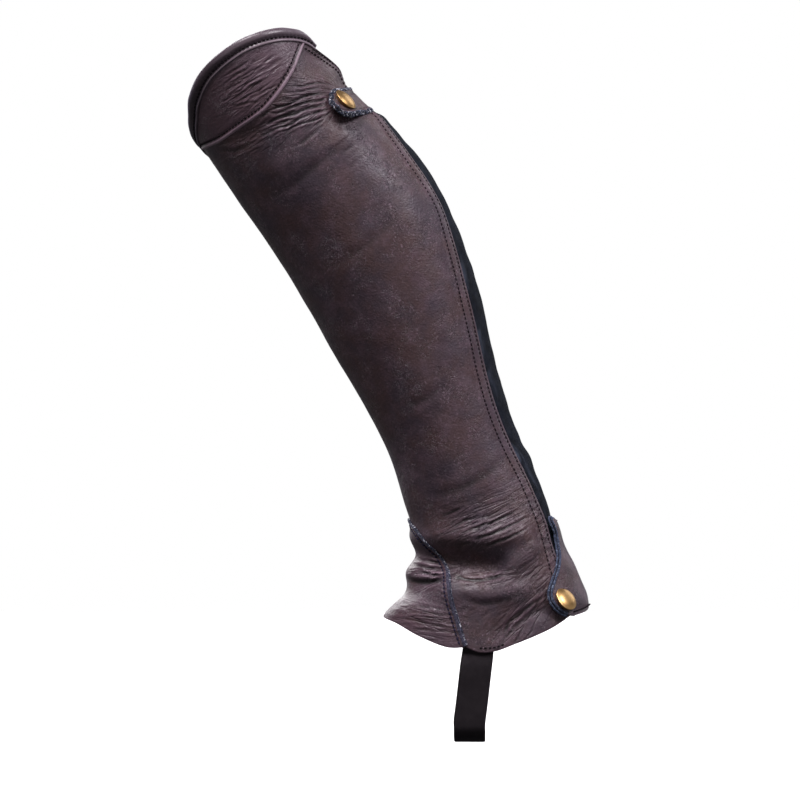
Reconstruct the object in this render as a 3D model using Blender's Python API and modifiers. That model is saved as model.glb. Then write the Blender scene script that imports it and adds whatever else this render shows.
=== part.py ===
"""A leather half chap for a left leg, in the hollow form that it has when worn.

The side elevation lies in the XZ plane and is seen from -Y, the outer side of the leg. The toes
point to -X, and the knee is up and forward. The origin is on the leg's axis at the calf.
A place on the garment is a level, counted down through the rows of SECTIONS, and an angle round
the leg in degrees: 0 is the outer side, 90 the back, -90 the shin and -180 the inner side.
"""

import math

import bmesh
import bpy
from mathutils import Matrix, Vector

MM = 0.001

# Thicknesses and clearances, in metres
LEATHER = 1.7 * MM
ROLLED_LEATHER = 1.3 * MM
ELASTIC = 1.2 * MM
TAPE = 0.8 * MM
STRAP = 1.6 * MM
GAP = 0.3 * MM
LAP_GAP = 0.6 * MM

# The worn leg in the side elevation, in millimetres. Each row runs from a point on the shin line
# to a point on the back line, and the leg is half_width wide to either side of it.
SECTIONS = (
    # shin_x, shin_z, back_x, back_z, half_width
    (-139.5, 102.5, -52.5, 166.0, 56.0),
    (-124.0, 79.5, -35.5, 145.5, 56.0),
    (-107.0, 54.5, -19.0, 118.0, 56.0),
    (-85.0, 22.0, 10.0, 85.0, 56.0),
    (-62.0, -11.0, 42.0, 46.0, 55.5),
    (-42.0, -43.5, 62.5, 7.0, 54.0),
    (-18.5, -84.5, 79.0, -43.0, 50.0),
    (5.0, -125.0, 90.5, -92.0, 45.5),
    (20.5, -158.0, 102.0, -130.5, 42.5),
    (31.0, -190.5, 117.5, -166.5, 41.0),
    (33.0, -210.0, 132.5, -198.5, 41.5),
    (29.0, -240.5, 142.0, -227.0, 42.0),
    (13.0, -258.5, 150.5, -250.5, 42.5),
    (4.0, -275.0, 154.0, -291.5, 43.0),
)
BACK_FULLNESS = 0.14  # how much wider the calf is behind the middle of a section than before it

# Edges and seams: level and angle of each place
OUTER_EDGE = (  # the double-stitched back edge of the outer leather, from collar to hem
    (1.75, 65.5),
    (2.10, 70.0),
    (2.50, 71.5),
    (3.00, 74.0),
    (3.50, 71.5),
    (4.00, 66.0),
    (5.00, 63.0),
    (7.00, 61.5),
    (9.00, 60.0),
    (11.00, 61.0),
)
BACK_TOP = (2.0, 92.0)  # the middle of the elastic's top edge
ZIP_LINE = (  # the middle of the zip; its chain ends at the second row
    (2.20, 120.0),
    (3.10, 119.5),
    (4.50, 118.0),
    (6.00, 115.0),
    (8.00, 112.0),
    (10.00, 112.0),
    (12.10, 112.0),
)
INNER_TOP = (  # the lower top edge on the inner side, from the zip to the shin
    (2.20, -233.0),
    (2.35, -200.0),
    (2.35, -165.0),
    (2.25, -135.0),
    (2.05, -108.0),
)
ZIP_OPENING = 12.0 * MM  # between the inner leather and the elastic
TAPE_TUCK = 7.0 * MM
ELASTIC_TUCK = 8.0 * MM
ELASTIC_FULLNESS = 2.3 * MM  # how far it swells between the leather and the zip
GUSSET_LIFT = 0.8 * MM

# Seams and hems in the side elevation, in millimetres: x and z of each point
COLLAR_SEAM = (
    (-112.0, 60.5),
    (-114.0, 75.5),
    (-112.5, 89.0),
    (-104.0, 106.0),
    (-87.0, 120.5),
    (-71.5, 128.0),
    (-56.0, 132.0),
    (-41.5, 132.0),
)
COLLAR_BACK_END = (-34.5, 129.5)
CRESCENT_SEAM = (
    (-111.0, 59.0),
    (-105.5, 60.5),
    (-97.0, 64.0),
    (-87.0, 70.5),
    (-77.0, 77.0),
    (-68.0, 83.5),
    (-60.0, 92.5),
    (-53.5, 101.5),
    (-48.5, 110.0),
    (-45.0, 119.0),
    (-41.5, 130.0),
)
GUSSET_SEAM = (
    (30.5, -193.0),
    (36.0, -200.0),
    (42.0, -210.5),
    (49.0, -221.0),
    (54.5, -229.5),
    (57.0, -239.5),
    (59.0, -252.5),
    (63.0, -266.0),
    (67.5, -278.5),
)
GUSSET_HEM = (
    (10.0, -258.5),
    (20.5, -262.5),
    (36.0, -271.0),
    (51.5, -277.5),
    (59.0, -279.0),
)
SIDE_HEM = (
    (77.0, -282.0),
    (87.0, -281.5),
    (100.0, -277.0),
    (114.0, -271.5),
    (127.0, -265.5),
    (143.0, -254.5),
)

# The largest folds in the side elevation, in millimetres: the two ends of each, how far it lifts
# the leather, where a negative lift is a trough, and half its breadth.
FOLDS = (
    # x1, z1, x2, z2, lift, half_breadth
    (54.0, -221.0, 100.0, -212.0, -4.0, 8.0),
    (58.0, -235.0, 106.0, -226.5, 2.4, 8.0),
    (58.0, -204.0, 102.0, -196.0, 2.0, 8.0),
    (92.0, -268.0, 116.0, -254.0, -1.6, 7.0),
    (34.0, -238.0, 48.0, -230.0, -1.8, 7.0),
    (22.0, -252.0, 46.0, -256.0, 1.6, 7.0),
    (-82.0, 66.0, -38.0, 88.0, -1.4, 7.0),
    (-60.0, 45.0, -14.0, 66.0, 1.2, 9.0),
)
INNER_FOLD_SHARE = 0.7  # the inner side has the same folds, softer

# The collar in section, in millimetres: height above its seam and distance off the leather
COLLAR_PROFILE = (
    (0.0, 0.2),
    (1.4, 1.3),
    (4.2, 2.0),
    (7.4, 1.7),
    (9.3, 0.2),
    (9.4, -1.6),
    (8.0, -3.2),
)

# Tabs across the zip
UPPER_TAB_MIDDLE = (  # level and angle, from the free end to the sewn end
    (2.49, 36.0),
    (2.58, 53.0),
    (2.64, 72.0),
    (2.67, 90.0),
    (2.66, 108.0),
    (2.62, 140.0),
)
TAB_LEVEL = 2.62
TAB_REACH = 0.38  # levels above and below the tab over which its pull dies away
TAB_DENT = 3.4 * MM  # how far the pull of the tab draws the back in
UPPER_TAB_SINK = 2.3 * MM  # how far it settles toward the elastic between the two leathers
SINK_ANGLES = (74.0, 90.0, 106.0, 122.0)  # starts, is full, still full, ends
UPPER_TAB_HALF_WIDTH = 10.0 * MM
LOWER_TAB_TOP = (9.50, 92.0)
LOWER_TAB_EDGE = (  # side elevation, x and z in millimetres, from the top down
    (127.5, -191.0),
    (132.0, -201.5),
    (133.5, -213.0),
    (131.5, -224.5),
    (127.0, -236.0),
    (125.0, -243.0),
    (127.0, -250.0),
    (132.5, -255.5),
)
LOWER_TAB_FOOT = (139.5, -257.5)
LOWER_TAB_HEEL = (12.05, 95.0)
SEWN_END_ANGLE = 132.0  # where the lower tab ends on the inner leather

# Snaps, in the side elevation and in metres
SNAP_GAP = 0.5 * MM
UPPER_SNAP_AT = (-11.6, 93.8)
LOWER_SNAP_AT = (136.5, -245.5)
SNAP_PROFILE = (  # radius and height in millimetres, from the crown to the middle of the foot
    (0.0, 3.0),
    (3.4, 2.8),
    (6.2, 2.1),
    (7.9, 1.2),
    (8.5, 0.6),
    (8.2, 0.0),
    (0.0, 0.0),
)

# Strap under the foot, in millimetres: its front edge in the side elevation, inside the panel
# and then free, and how it runs across under the arch
STRAP_INSIDE = ((66.0, -262.0), (66.0, -269.0), (66.0, -276.0), (66.0, -282.0))
STRAP_FREE = ((65.0, -292.0), (63.5, -305.0), (62.0, -318.0))
STRAP_WIDTH = 21.0
STRAP_FOOT_X = 60.5
STRAP_FOOT_Z = -343.0
STRAP_HALF_SPREAD = 42.5
STRAP_CORNER = 13.0

# Slider and pull tab. Their own axes: x across the zip, y up the zip, z off the leg.
SLIDER_SIZE = (8.5 * MM, 11.0 * MM, 3.0 * MM)
EAR_SIZE = (1.0 * MM, 2.8 * MM, 3.6 * MM)
EAR_SPREAD = 2.25 * MM
EAR_ROOT = 0.5 * MM  # how far the ears reach into the slider
PIN_HEIGHT = 4.8 * MM
PIN_RADIUS = 0.7 * MM
EYE_BORE = 1.0 * MM
EYE_RADIUS = 1.5 * MM
EYE_WIDTH = 2.9 * MM
NECK_SHARE = 0.9  # of the eye's width and the tab's thickness
NECK_START = 0.6 * MM  # below the pin's axis
PULL_NECK_END = 6.0 * MM
NECK_LAP = 1.0 * MM  # how far the neck reaches into the tab
PULL_SIZE = (7.0 * MM, 20.0 * MM, 1.4 * MM)
PULL_SLOT = (3.0 * MM, 8.0 * MM)
SLOT_MARGIN = 2.5 * MM  # from the tab's free end
SLIDER_ROUNDING = 0.6 * MM
PULL_ROUNDING = 0.5 * MM
CHAIN_WIDTH = 5.5 * MM
CHAIN_HEIGHT = 2.0 * MM

# How finely each piece is drawn. A zone is the share of the length where it ends, and its steps.
PANEL_ZONES = ((0.30, 12), (0.64, 7), (1.0, 25))
CLOSURE_ZONES = ((0.25, 18), (1.0, 20))
HEM_COLUMNS = 12
GUSSET_ROWS = 15
GUSSET_HALF_COLUMNS = 9
INSERT_COLUMNS = 20
INSERT_ROWS = 5
COLLAR_COLUMNS = 46
ELASTIC_COLUMNS = 11
UPPER_TAB_COLUMNS = 14
UPPER_TAB_ROWS = 7
UPPER_TAB_END = (0.4 * MM, 1.6 * MM, 3.4 * MM, 6.0 * MM)  # from the tip of its round end
LOWER_TAB_ROWS = 16
LOWER_TAB_COLUMNS = 13
STRAP_COLUMNS = 5
ROUND_STEPS = 24
ROD_SIDES = 16


def material(name, colour, roughness, metallic=0.0):
    """A plain surface for one kind of piece."""
    made = bpy.data.materials.new(name)
    made.use_nodes = True
    shader = made.node_tree.nodes["Principled BSDF"]
    shader.inputs["Base Color"].default_value = (*colour, 1.0)
    shader.inputs["Roughness"].default_value = roughness
    shader.inputs["Metallic"].default_value = metallic
    return made


def smooth_value(rows, place):
    """Reads a smooth curve through the rows, where place counts rows from 0."""
    last = len(rows) - 1
    start = min(max(int(place), 0), last - 1)
    f = place - start
    before, a, b, after = (rows[min(max(start + k, 0), last)] for k in (-1, 0, 1, 2))
    return [
        0.5 * (2 * p1 + (p2 - p0) * f + (2 * p0 - 5 * p1 + 4 * p2 - p3) * f**2
               + (3 * p1 - p0 - 3 * p2 + p3) * f**3)
        for p0, p1, p2, p3 in zip(before, a, b, after)
    ]


def tube(level, angle):
    """The smooth worn form, without folds."""
    shin_x, shin_z, back_x, back_z, half = smooth_value(SECTIONS, level)
    depth = math.sin(math.radians(angle))
    x = (shin_x + back_x) / 2 + (back_x - shin_x) / 2 * depth
    z = (shin_z + back_z) / 2 + (back_z - shin_z) / 2 * depth
    y = -half * math.cos(math.radians(angle)) * (1 + BACK_FULLNESS * depth)
    return Vector((x, y, z)) * MM


def slopes(level, angle):
    """How the form runs for one level down and for one degree backward."""
    nudge = 0.02
    down = (tube(level + nudge, angle) - tube(level - nudge, angle)) / (2 * nudge)
    back = (tube(level, angle + nudge) - tube(level, angle - nudge)) / (2 * nudge)
    return down, back


def outward(level, angle):
    down, back = slopes(level, angle)
    return down.cross(back).normalized()


def rise_of_folds(point, angle):
    """How far the folds lift the leather at a point of the smooth form."""
    x, z = point.x / MM, point.z / MM
    side = math.cos(math.radians(angle))
    share = abs(side) ** 0.5 * (1.0 if side > 0 else INNER_FOLD_SHARE)
    rise = 0.0
    for x1, z1, x2, z2, lift, half_breadth in FOLDS:
        run_x, run_z = x2 - x1, z2 - z1
        t = ((x - x1) * run_x + (z - z1) * run_z) / (run_x**2 + run_z**2)
        t = min(max(t, 0.0), 1.0)
        away_squared = (x - x1 - run_x * t) ** 2 + (z - z1 - run_z * t) ** 2
        rise += lift * math.exp(-away_squared / half_breadth**2)
    return rise * share * MM


def pull_of_tab(level):
    """How much of the upper tab's pull is felt at this level, from 0 to 1."""
    return math.exp(-(((level - TAB_LEVEL) / TAB_REACH) ** 2))


def skin(level, angle, lift=0.0):
    """A point of the garment, lift metres off the leather's outer face."""
    point = tube(level, angle)
    backness = max(math.sin(math.radians(angle)), 0.0)
    rise = rise_of_folds(point, angle) - TAB_DENT * pull_of_tab(level) * backness**4
    return point + outward(level, angle) * (rise + lift)


def level_and_angle(x, z):
    """The place on the outer side of the smooth form at a point of the side elevation, in mm."""
    low, high = 0.0, len(SECTIONS) - 1.0
    for _ in range(40):
        level = (low + high) / 2
        shin_x, shin_z, back_x, back_z, _half = smooth_value(SECTIONS, level)
        run_x, run_z = back_x - shin_x, back_z - shin_z
        if (x - shin_x) * run_z > (z - shin_z) * run_x:
            low = level
        else:
            high = level
    share = ((x - shin_x) * run_x + (z - shin_z) * run_z) / (run_x**2 + run_z**2)
    return level, math.degrees(math.asin(min(max(2 * share - 1, -1.0), 1.0)))


def seen(x, z, lift=0.0):
    """The place under a point of the side elevation that shows lift metres off the leather."""
    place = level_and_angle(x, z)
    off = outward(*place) * lift / MM
    return level_and_angle(x - off.x, z - off.z)


def mirrored(place):
    """The place on the inner side that lies behind one on the outer side."""
    return place[0], -180.0 - place[1]


def walk(place, move):
    """The place reached by a short move along the leather."""
    down, back = slopes(*place)
    dd, db, bb = down.dot(down), down.dot(back), back.dot(back)
    md, mb = move.dot(down), move.dot(back)
    scale = dd * bb - db * db
    return place[0] + (md * bb - mb * db) / scale, place[1] + (mb * dd - md * db) / scale


def beside(line, distances):
    """The line moved sideways: up where it runs backward, backward where it runs down."""
    if not hasattr(distances, "__len__"):
        distances = [distances] * len(line)
    moved = []
    for i, place in enumerate(line):
        ahead = tube(*line[min(i + 1, len(line) - 1)])
        behind = tube(*line[max(i - 1, 0)])
        across = outward(*place).cross(ahead - behind).normalized()
        moved.append(walk(place, across * distances[i]))
    return moved


def even(count):
    return [k / (count - 1) for k in range(count)]


def zoned(zones):
    """Shares from 0 to 1, even within each zone."""
    shares, start = [0.0], 0.0
    for end, steps in zones:
        shares += [start + (end - start) * k / steps for k in range(1, steps + 1)]
        start = end
    return shares


def trace(knots, shares):
    """Places at these shares of the length of a smooth line through the knots."""
    fine = 12
    steps = (len(knots) - 1) * fine
    places = [tuple(smooth_value(knots, i / fine)) for i in range(steps + 1)]
    run = [0.0]
    for a, b in zip(places, places[1:]):
        run.append(run[-1] + (tube(*b) - tube(*a)).length)
    line, i = [], 0
    for share in shares:
        goal = run[-1] * share
        while i < steps - 1 and run[i + 1] < goal:
            i += 1
        f = (goal - run[i]) / (run[i + 1] - run[i])
        line.append(tuple(a + (b - a) * f for a, b in zip(places[i], places[i + 1])))
    return line


def length_of(line):
    return sum((tube(*b) - tube(*a)).length for a, b in zip(line, line[1:]))


def mix(a, b, share):
    return tuple(p + (q - p) * share for p, q in zip(a, b))


def patch(top, bottom, start, end):
    """Fills four edges with rows of places; top and bottom run backward, start and end down."""
    grid = []
    for r, v in enumerate(even(len(start))):
        row = []
        for c, u in enumerate(even(len(top))):
            along = mix(top[c], bottom[c], v)
            down = mix(start[r], end[r], u)
            corners = mix(mix(top[0], bottom[0], v), mix(top[-1], bottom[-1], v), u)
            row.append(tuple(a + b - c for a, b, c in zip(along, down, corners)))
        grid.append(row)
    return grid


def on_leather(grid, lift=0.0):
    return [[skin(level, angle, lift) for level, angle in row] for row in grid]


def cloth(name, rows, thickness, look):
    """A wall: an open surface through rows of points, thickened inward."""
    width = len(rows[0])
    points = [tuple(p) for row in rows for p in row]
    faces = [
        (r * width + c, (r + 1) * width + c, (r + 1) * width + c + 1, r * width + c + 1)
        for r in range(len(rows) - 1)
        for c in range(width - 1)
    ]
    mesh = bpy.data.meshes.new(name)
    mesh.from_pydata(points, [], faces)
    mesh.shade_smooth()
    mesh.materials.append(look)
    made = bpy.data.objects.new(name, mesh)
    garment.objects.link(made)
    wall = made.modifiers.new("Wall", "SOLIDIFY")
    wall.thickness = thickness
    wall.offset = -1.0
    wall.use_quality_normals = True
    return made


def build_panel(crescent, seam, leather):
    """The main panel, notched for the gusset. Its two solids part down the shin."""
    rows = zoned(PANEL_ZONES)
    hem = [seen(x, z) for x, z in SIDE_HEM]
    outer_side = trace([seen(*COLLAR_BACK_END), *OUTER_EDGE, hem[-1]], rows)
    zip_edge = beside(trace(ZIP_LINE, rows), ZIP_OPENING / 2)
    inner_side = [(level, angle - 360.0) for level, angle in zip_edge]

    notch = beside(seam, GAP)
    outer_hem = trace([notch[-1]] + hem, even(HEM_COLUMNS))
    inner_knots = [inner_side[-1]] + [mirrored(p) for p in hem[-2::-1]] + [mirrored(notch[-1])]
    inner_hem = trace(inner_knots, even(HEM_COLUMNS))
    inner_notch = [mirrored(p) for p in notch[::-1]]
    bottom = inner_hem[:-1] + inner_notch + notch[:-1] + outer_hem

    knots = [inner_side[0]] + list(INNER_TOP[1:]) + crescent + [outer_side[0]]
    top = beside(trace(knots, even(len(bottom))), -GAP)
    inner_side[0], outer_side[0] = top[0], top[-1]
    grid = patch(top, bottom, inner_side, outer_side)
    shin = len(inner_hem) + len(notch) - 2
    inner_half = [row[:shin + 1] for row in grid]
    outer_half = []
    for row in grid:
        across = row[shin:shin + 2]
        outer_half.append([mix(*across, GAP / length_of(across))] + row[shin + 1:])
    cloth("leg_panel_inner", on_leather(inner_half), LEATHER, leather)
    cloth("leg_panel_outer", on_leather(outer_half), LEATHER, leather)


def build_insert(collar_seam, crescent, leather):
    """The crescent between the collar and the panel's curved top seam."""
    upper = beside(trace(collar_seam, even(INSERT_COLUMNS)), -GAP)
    lower = beside(crescent, GAP)
    grid = [[mix(a, b, v) for a, b in zip(upper, lower)] for v in even(INSERT_ROWS)]
    cloth("top_insert", on_leather(grid), LEATHER, leather)


def build_collar(collar_seam, leather):
    """The rolled edge round the top, open at the zip."""
    rim = list(INNER_TOP) + collar_seam + [seen(*COLLAR_BACK_END)]
    line = trace(rim, even(COLLAR_COLUMNS))
    rows = []
    for height, lift in reversed(COLLAR_PROFILE):
        edge = beside(line, height * MM)
        rows.append([skin(level, angle, lift * MM) for level, angle in edge])
    cloth("top_band", rows, ROLLED_LEATHER, leather)


def build_gusset(seam, leather):
    """The front piece over the instep, between two mirrored seams."""
    hem = [seen(x, z) for x, z in GUSSET_HEM] + [seam[-1]]
    half = trace(hem, even(GUSSET_HALF_COLUMNS))
    bottom = [mirrored(p) for p in half[:0:-1]] + half
    top = [mix(mirrored(seam[0]), seam[0], u) for u in even(len(bottom))]
    grid = patch(top, bottom, [mirrored(p) for p in seam], seam)
    cloth("instep_gusset", on_leather(grid, GUSSET_LIFT), LEATHER, leather)


def build_elastic(elastic):
    """The stretch panel from under the stitched edge round the back to the zip."""
    knots = list(OUTER_EDGE) + [seen(*SIDE_HEM[-1])]
    near = beside(trace(knots, zoned(CLOSURE_ZONES)), -ELASTIC_TUCK)
    far = beside(trace(ZIP_LINE, zoned(CLOSURE_ZONES)), -ZIP_OPENING / 2)
    columns = even(ELASTIC_COLUMNS)
    top = trace([near[0], BACK_TOP, far[0]], columns)
    bottom = trace([near[-1], far[-1]], columns)
    rows = []
    for places in patch(top, bottom, near, far):
        tucked = ELASTIC_TUCK / length_of(places)
        row = []
        for (level, angle), u in zip(places, columns):
            free = max(u - tucked, 0.0) / (1 - tucked)
            swell = math.sin(math.pi * free) * max(1 - 2 * pull_of_tab(level), 0.0)
            row.append(skin(level, angle, ELASTIC_FULLNESS * swell - LEATHER - LAP_GAP))
        rows.append(row)
    cloth("elastic_panel", rows, ELASTIC, elastic)


def build_zip(webbing, teeth):
    """The closed zip: its tapes as one strip, and the chain below the slider."""
    line = trace(ZIP_LINE, zoned(CLOSURE_ZONES))
    edges = [beside(line, reach) for reach in (
        GAP - ZIP_OPENING / 2, 0.0, ZIP_OPENING / 2, ZIP_OPENING / 2 + TAPE_TUCK
    )]
    cloth("zip_tape", on_leather(zip(*edges), -LEATHER - LAP_GAP), TAPE, webbing)

    below = ZIP_LINE[1:]
    start = (SLIDER_SIZE[1] / 2 + GAP) / length_of(trace(below, zoned(CLOSURE_ZONES)))
    line = trace(below, [start + (1 - start) * s for s in zoned(CLOSURE_ZONES)])
    edges = [beside(line, CHAIN_WIDTH * k) for k in (-0.5, 0.0, 0.5)]
    lift = CHAIN_HEIGHT + GAP - LEATHER - LAP_GAP
    cloth("zip_chain", on_leather(zip(*edges), lift), CHAIN_HEIGHT, teeth)


def sink(angle):
    """How far the upper tab settles at this angle."""
    starts, full, still_full, ends = SINK_ANGLES
    share = min((angle - starts) / (full - starts), (ends - angle) / (ends - still_full))
    share = min(max(share, 0.0), 1.0)
    return UPPER_TAB_SINK * share * share * (3 - 2 * share)


def build_upper_tab(leather):
    """The strap across the top of the zip, with a round free end."""
    middle = trace(UPPER_TAB_MIDDLE, even(60))
    length, radius = length_of(middle), UPPER_TAB_HALF_WIDTH
    runs = [*UPPER_TAB_END, radius]
    runs += [radius + (length - radius) * s for s in even(UPPER_TAB_COLUMNS)[1:]]
    line = trace(UPPER_TAB_MIDDLE, [run / length for run in runs])
    halves = [math.sqrt(radius**2 - max(radius - run, 0.0) ** 2) for run in runs]
    rows = []
    for k in even(UPPER_TAB_ROWS):
        edge = beside(line, [half * (1 - 2 * k) for half in halves])
        rows.append([skin(level, angle, LAP_GAP + LEATHER - sink(angle)) for level, angle in edge])
    cloth("upper_tab", rows, LEATHER, leather)


def build_lower_tab(leather):
    """The tall flap from the inner side across the zip at the ankle."""
    lift = LAP_GAP + LEATHER
    edge = [LOWER_TAB_TOP] + [seen(x, z, lift) for x, z in LOWER_TAB_EDGE]
    edge.append(seen(*LOWER_TAB_FOOT, lift))
    near = trace(edge, even(LOWER_TAB_ROWS))
    sewn = (LOWER_TAB_TOP[0], SEWN_END_ANGLE), (LOWER_TAB_HEEL[0], SEWN_END_ANGLE)
    far = [mix(*sewn, v) for v in even(LOWER_TAB_ROWS)]
    columns = even(LOWER_TAB_COLUMNS)
    top = [mix(near[0], far[0], u) for u in columns]
    bottom = trace([near[-1], LOWER_TAB_HEEL, far[-1]], columns)
    cloth("lower_tab", on_leather(patch(top, bottom, near, far), lift), LEATHER, leather)


def build_strap(webbing):
    """The elastic strap that passes under the foot, from inside one hem to inside the other."""
    spread, corner = STRAP_HALF_SPREAD, STRAP_CORNER
    breadth = [STRAP_WIDTH * s for s in even(STRAP_COLUMNS)]
    outer_rows = []
    for x, z in STRAP_INSIDE:
        places = [seen(x + b, z) for b in breadth]
        outer_rows.append([skin(level, angle, -LEATHER - LAP_GAP) for level, angle in places])
    for x, z in STRAP_FREE:
        outer_rows.append([Vector((x + b, -spread, z)) * MM for b in breadth])
    for turn in (0, 22.5, 45, 67.5, 90):
        y = corner - spread - corner * math.cos(math.radians(turn))
        z = STRAP_FOOT_Z + corner - corner * math.sin(math.radians(turn))
        outer_rows.append([Vector((STRAP_FOOT_X + b, y, z)) * MM for b in breadth])
    outer_rows.append([Vector((p.x, p.y / 3, p.z)) for p in outer_rows[-1]])
    inner_rows = [[Vector((p.x, -p.y, p.z)) for p in row] for row in outer_rows[::-1]]
    for k, (x, z) in enumerate(STRAP_INSIDE):
        places = [mirrored(seen(x + b, z)) for b in breadth]
        inner_rows[-1 - k] = [skin(level, angle, -LEATHER - LAP_GAP) for level, angle in places]
    cloth("foot_strap", outer_rows + inner_rows, STRAP, webbing)


def on_leg(place, toward, lift):
    """Axes on the leg at a place: x across, y against the way toward, z off the leg."""
    level, angle = place
    down = skin(level + 0.05, angle) - skin(level - 0.05, angle)
    off = down.cross(skin(level, angle + 1) - skin(level, angle - 1)).normalized()
    up = (tube(*place) - tube(*toward)).normalized()
    across = up.cross(off).normalized()
    up = off.cross(across)
    spot = skin(*place) + off * lift
    return Matrix.Translation(spot) @ Matrix((across, up, off)).transposed().to_4x4()


def build_snap(name, at, brass):
    """A domed cap, turned about its own axis and seated on a tab."""
    lift = LAP_GAP + LEATHER + SNAP_GAP
    place = seen(*at, lift)
    mesh = bpy.data.meshes.new(name)
    points = [(radius * MM, 0.0, height * MM) for radius, height in SNAP_PROFILE]
    mesh.from_pydata(points, [(i, i + 1) for i in range(len(points) - 1)], [])
    mesh.materials.append(brass)
    cap = bpy.data.objects.new(name, mesh)
    garment.objects.link(cap)
    cap.matrix_world = on_leg(place, (place[0] + 0.1, place[1]), lift)
    turn = cap.modifiers.new("Turn", "SCREW")
    turn.steps = turn.render_steps = ROUND_STEPS
    turn.use_merge_vertices = True
    turn.merge_threshold = 0.00005


def block(name, size, centre, collection):
    """A box of this size."""
    shape = bmesh.new()
    bmesh.ops.create_cube(shape, size=1.0)
    bmesh.ops.scale(shape, vec=size, verts=shape.verts)
    return shape_object(name, shape, centre, collection)


def rod(name, radius, length, centre, collection):
    """A cylinder along x."""
    shape = bmesh.new()
    bmesh.ops.create_cone(shape, cap_ends=True, segments=ROD_SIDES, radius1=radius, radius2=radius,
                          depth=length)
    bmesh.ops.rotate(shape, verts=shape.verts, matrix=Matrix.Rotation(math.pi / 2, 3, "Y"))
    return shape_object(name, shape, centre, collection)


def shape_object(name, shape, centre, collection):
    bmesh.ops.translate(shape, vec=centre, verts=shape.verts)
    mesh = bpy.data.meshes.new(name)
    shape.to_mesh(mesh)
    shape.free()
    made = bpy.data.objects.new(name, mesh)
    collection.objects.link(made)
    if collection is cutters:
        made.hide_render = True
        made.display_type = "WIRE"
    return made


def round_edges(made, width):
    bevel = made.modifiers.new("Rounded", "BEVEL")
    bevel.width = width
    bevel.segments = 2


def combine(made, other, operation):
    """Joins the other shape to this one, or cuts this one with it."""
    other.matrix_world = made.matrix_world
    step = made.modifiers.new(other.name, "BOOLEAN")
    step.operation = operation
    step.object = other


def build_slider(brass):
    """The slider, with two ears that carry the pull tab's pin. It stays where it is."""
    foot_lift = GAP - LEATHER - LAP_GAP
    axes = on_leg(ZIP_LINE[1], mix(ZIP_LINE[1], ZIP_LINE[2], 0.1), foot_lift)
    height = SLIDER_SIZE[2]
    slider = block("zip_slider", SLIDER_SIZE, (0.0, 0.0, height / 2), garment)
    slider.data.materials.append(brass)
    slider.matrix_world = axes
    round_edges(slider, SLIDER_ROUNDING)
    for side in (-1, 1):
        centre = (side * EAR_SPREAD, 0.0, height - EAR_ROOT + EAR_SIZE[2] / 2)
        combine(slider, block("slider_ear", EAR_SIZE, centre, cutters), "UNION")
    pin_length = 2 * EAR_SPREAD + EAR_SIZE[0] / 2
    pin = rod("slider_pin", PIN_RADIUS, pin_length, (0, 0, PIN_HEIGHT), cutters)
    combine(slider, pin, "UNION")
    return axes


def build_pull(axes, brass):
    """The pull tab, hanging down the zip. Its origin is on the pin's axis."""
    length, thickness = PULL_SIZE[1:]
    middle = -PULL_NECK_END - length / 2 + NECK_LAP
    pull = block("zip_pull", PULL_SIZE, (0.0, middle, 0.0), garment)
    pull.data.materials.append(brass)
    pull.matrix_world = axes @ Matrix.Translation((0.0, 0.0, PIN_HEIGHT))
    round_edges(pull, PULL_ROUNDING)
    neck_size = (EYE_WIDTH * NECK_SHARE, PULL_NECK_END, thickness * NECK_SHARE)
    neck = block("pull_neck", neck_size, (0.0, -PULL_NECK_END / 2 - NECK_START, 0.0), cutters)
    combine(pull, neck, "UNION")
    combine(pull, rod("pull_eye", EYE_RADIUS, EYE_WIDTH, (0, 0, 0), cutters), "UNION")
    combine(pull, rod("pull_bore", EYE_BORE, 2 * EYE_WIDTH, (0, 0, 0), cutters), "DIFFERENCE")
    slot_size = (*PULL_SLOT, 3 * thickness)
    slot_middle = middle - length / 2 + PULL_SLOT[1] / 2 + SLOT_MARGIN
    combine(pull, block("pull_slot", slot_size, (0.0, slot_middle, 0.0), cutters), "DIFFERENCE")


def build_half_chap():
    leather = material("brown_leather", (0.062, 0.044, 0.052), 0.55)
    elastic = material("dark_elastic", (0.020, 0.024, 0.032), 0.70)
    webbing = material("black_webbing", (0.016, 0.013, 0.017), 0.80)
    teeth = material("black_teeth", (0.012, 0.012, 0.013), 0.45)
    brass = material("brass", (0.55, 0.36, 0.15), 0.30, 1.0)

    collar_seam = [seen(x, z) for x, z in COLLAR_SEAM]
    crescent = trace([seen(x, z) for x, z in CRESCENT_SEAM], even(INSERT_COLUMNS))
    seam = trace([seen(x, z) for x, z in GUSSET_SEAM], even(GUSSET_ROWS))
    build_panel(crescent, seam, leather)
    build_insert(collar_seam, crescent, leather)
    build_collar(collar_seam, leather)
    build_gusset(seam, leather)
    build_elastic(elastic)
    build_zip(webbing, teeth)
    build_upper_tab(leather)
    build_lower_tab(leather)
    build_strap(webbing)
    build_snap("upper_snap", UPPER_SNAP_AT, brass)
    build_snap("lower_snap", LOWER_SNAP_AT, brass)
    build_pull(build_slider(brass), brass)


for old in list(bpy.data.objects):
    bpy.data.objects.remove(old, do_unlink=True)
garment = bpy.data.collections.new("half_chap")
cutters = bpy.data.collections.new("cutters")
bpy.context.scene.collection.children.link(garment)
bpy.context.scene.collection.children.link(cutters)
build_half_chap()
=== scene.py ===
"""The looks of the half chap: fine leather, elastic, webbing, sewing and metal on the solids' form.

Shapes are worked out in millimetres on the same worn form as the solids, then made in metres.
A place on the garment is a level, counted down through the rows of SECTIONS, and an angle round
the leg in degrees: 0 is the outer side, 90 the back, -90 the shin and -180 the inner side.
"""

import math

import bpy
import numpy as np
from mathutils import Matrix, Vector, noise


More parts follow.
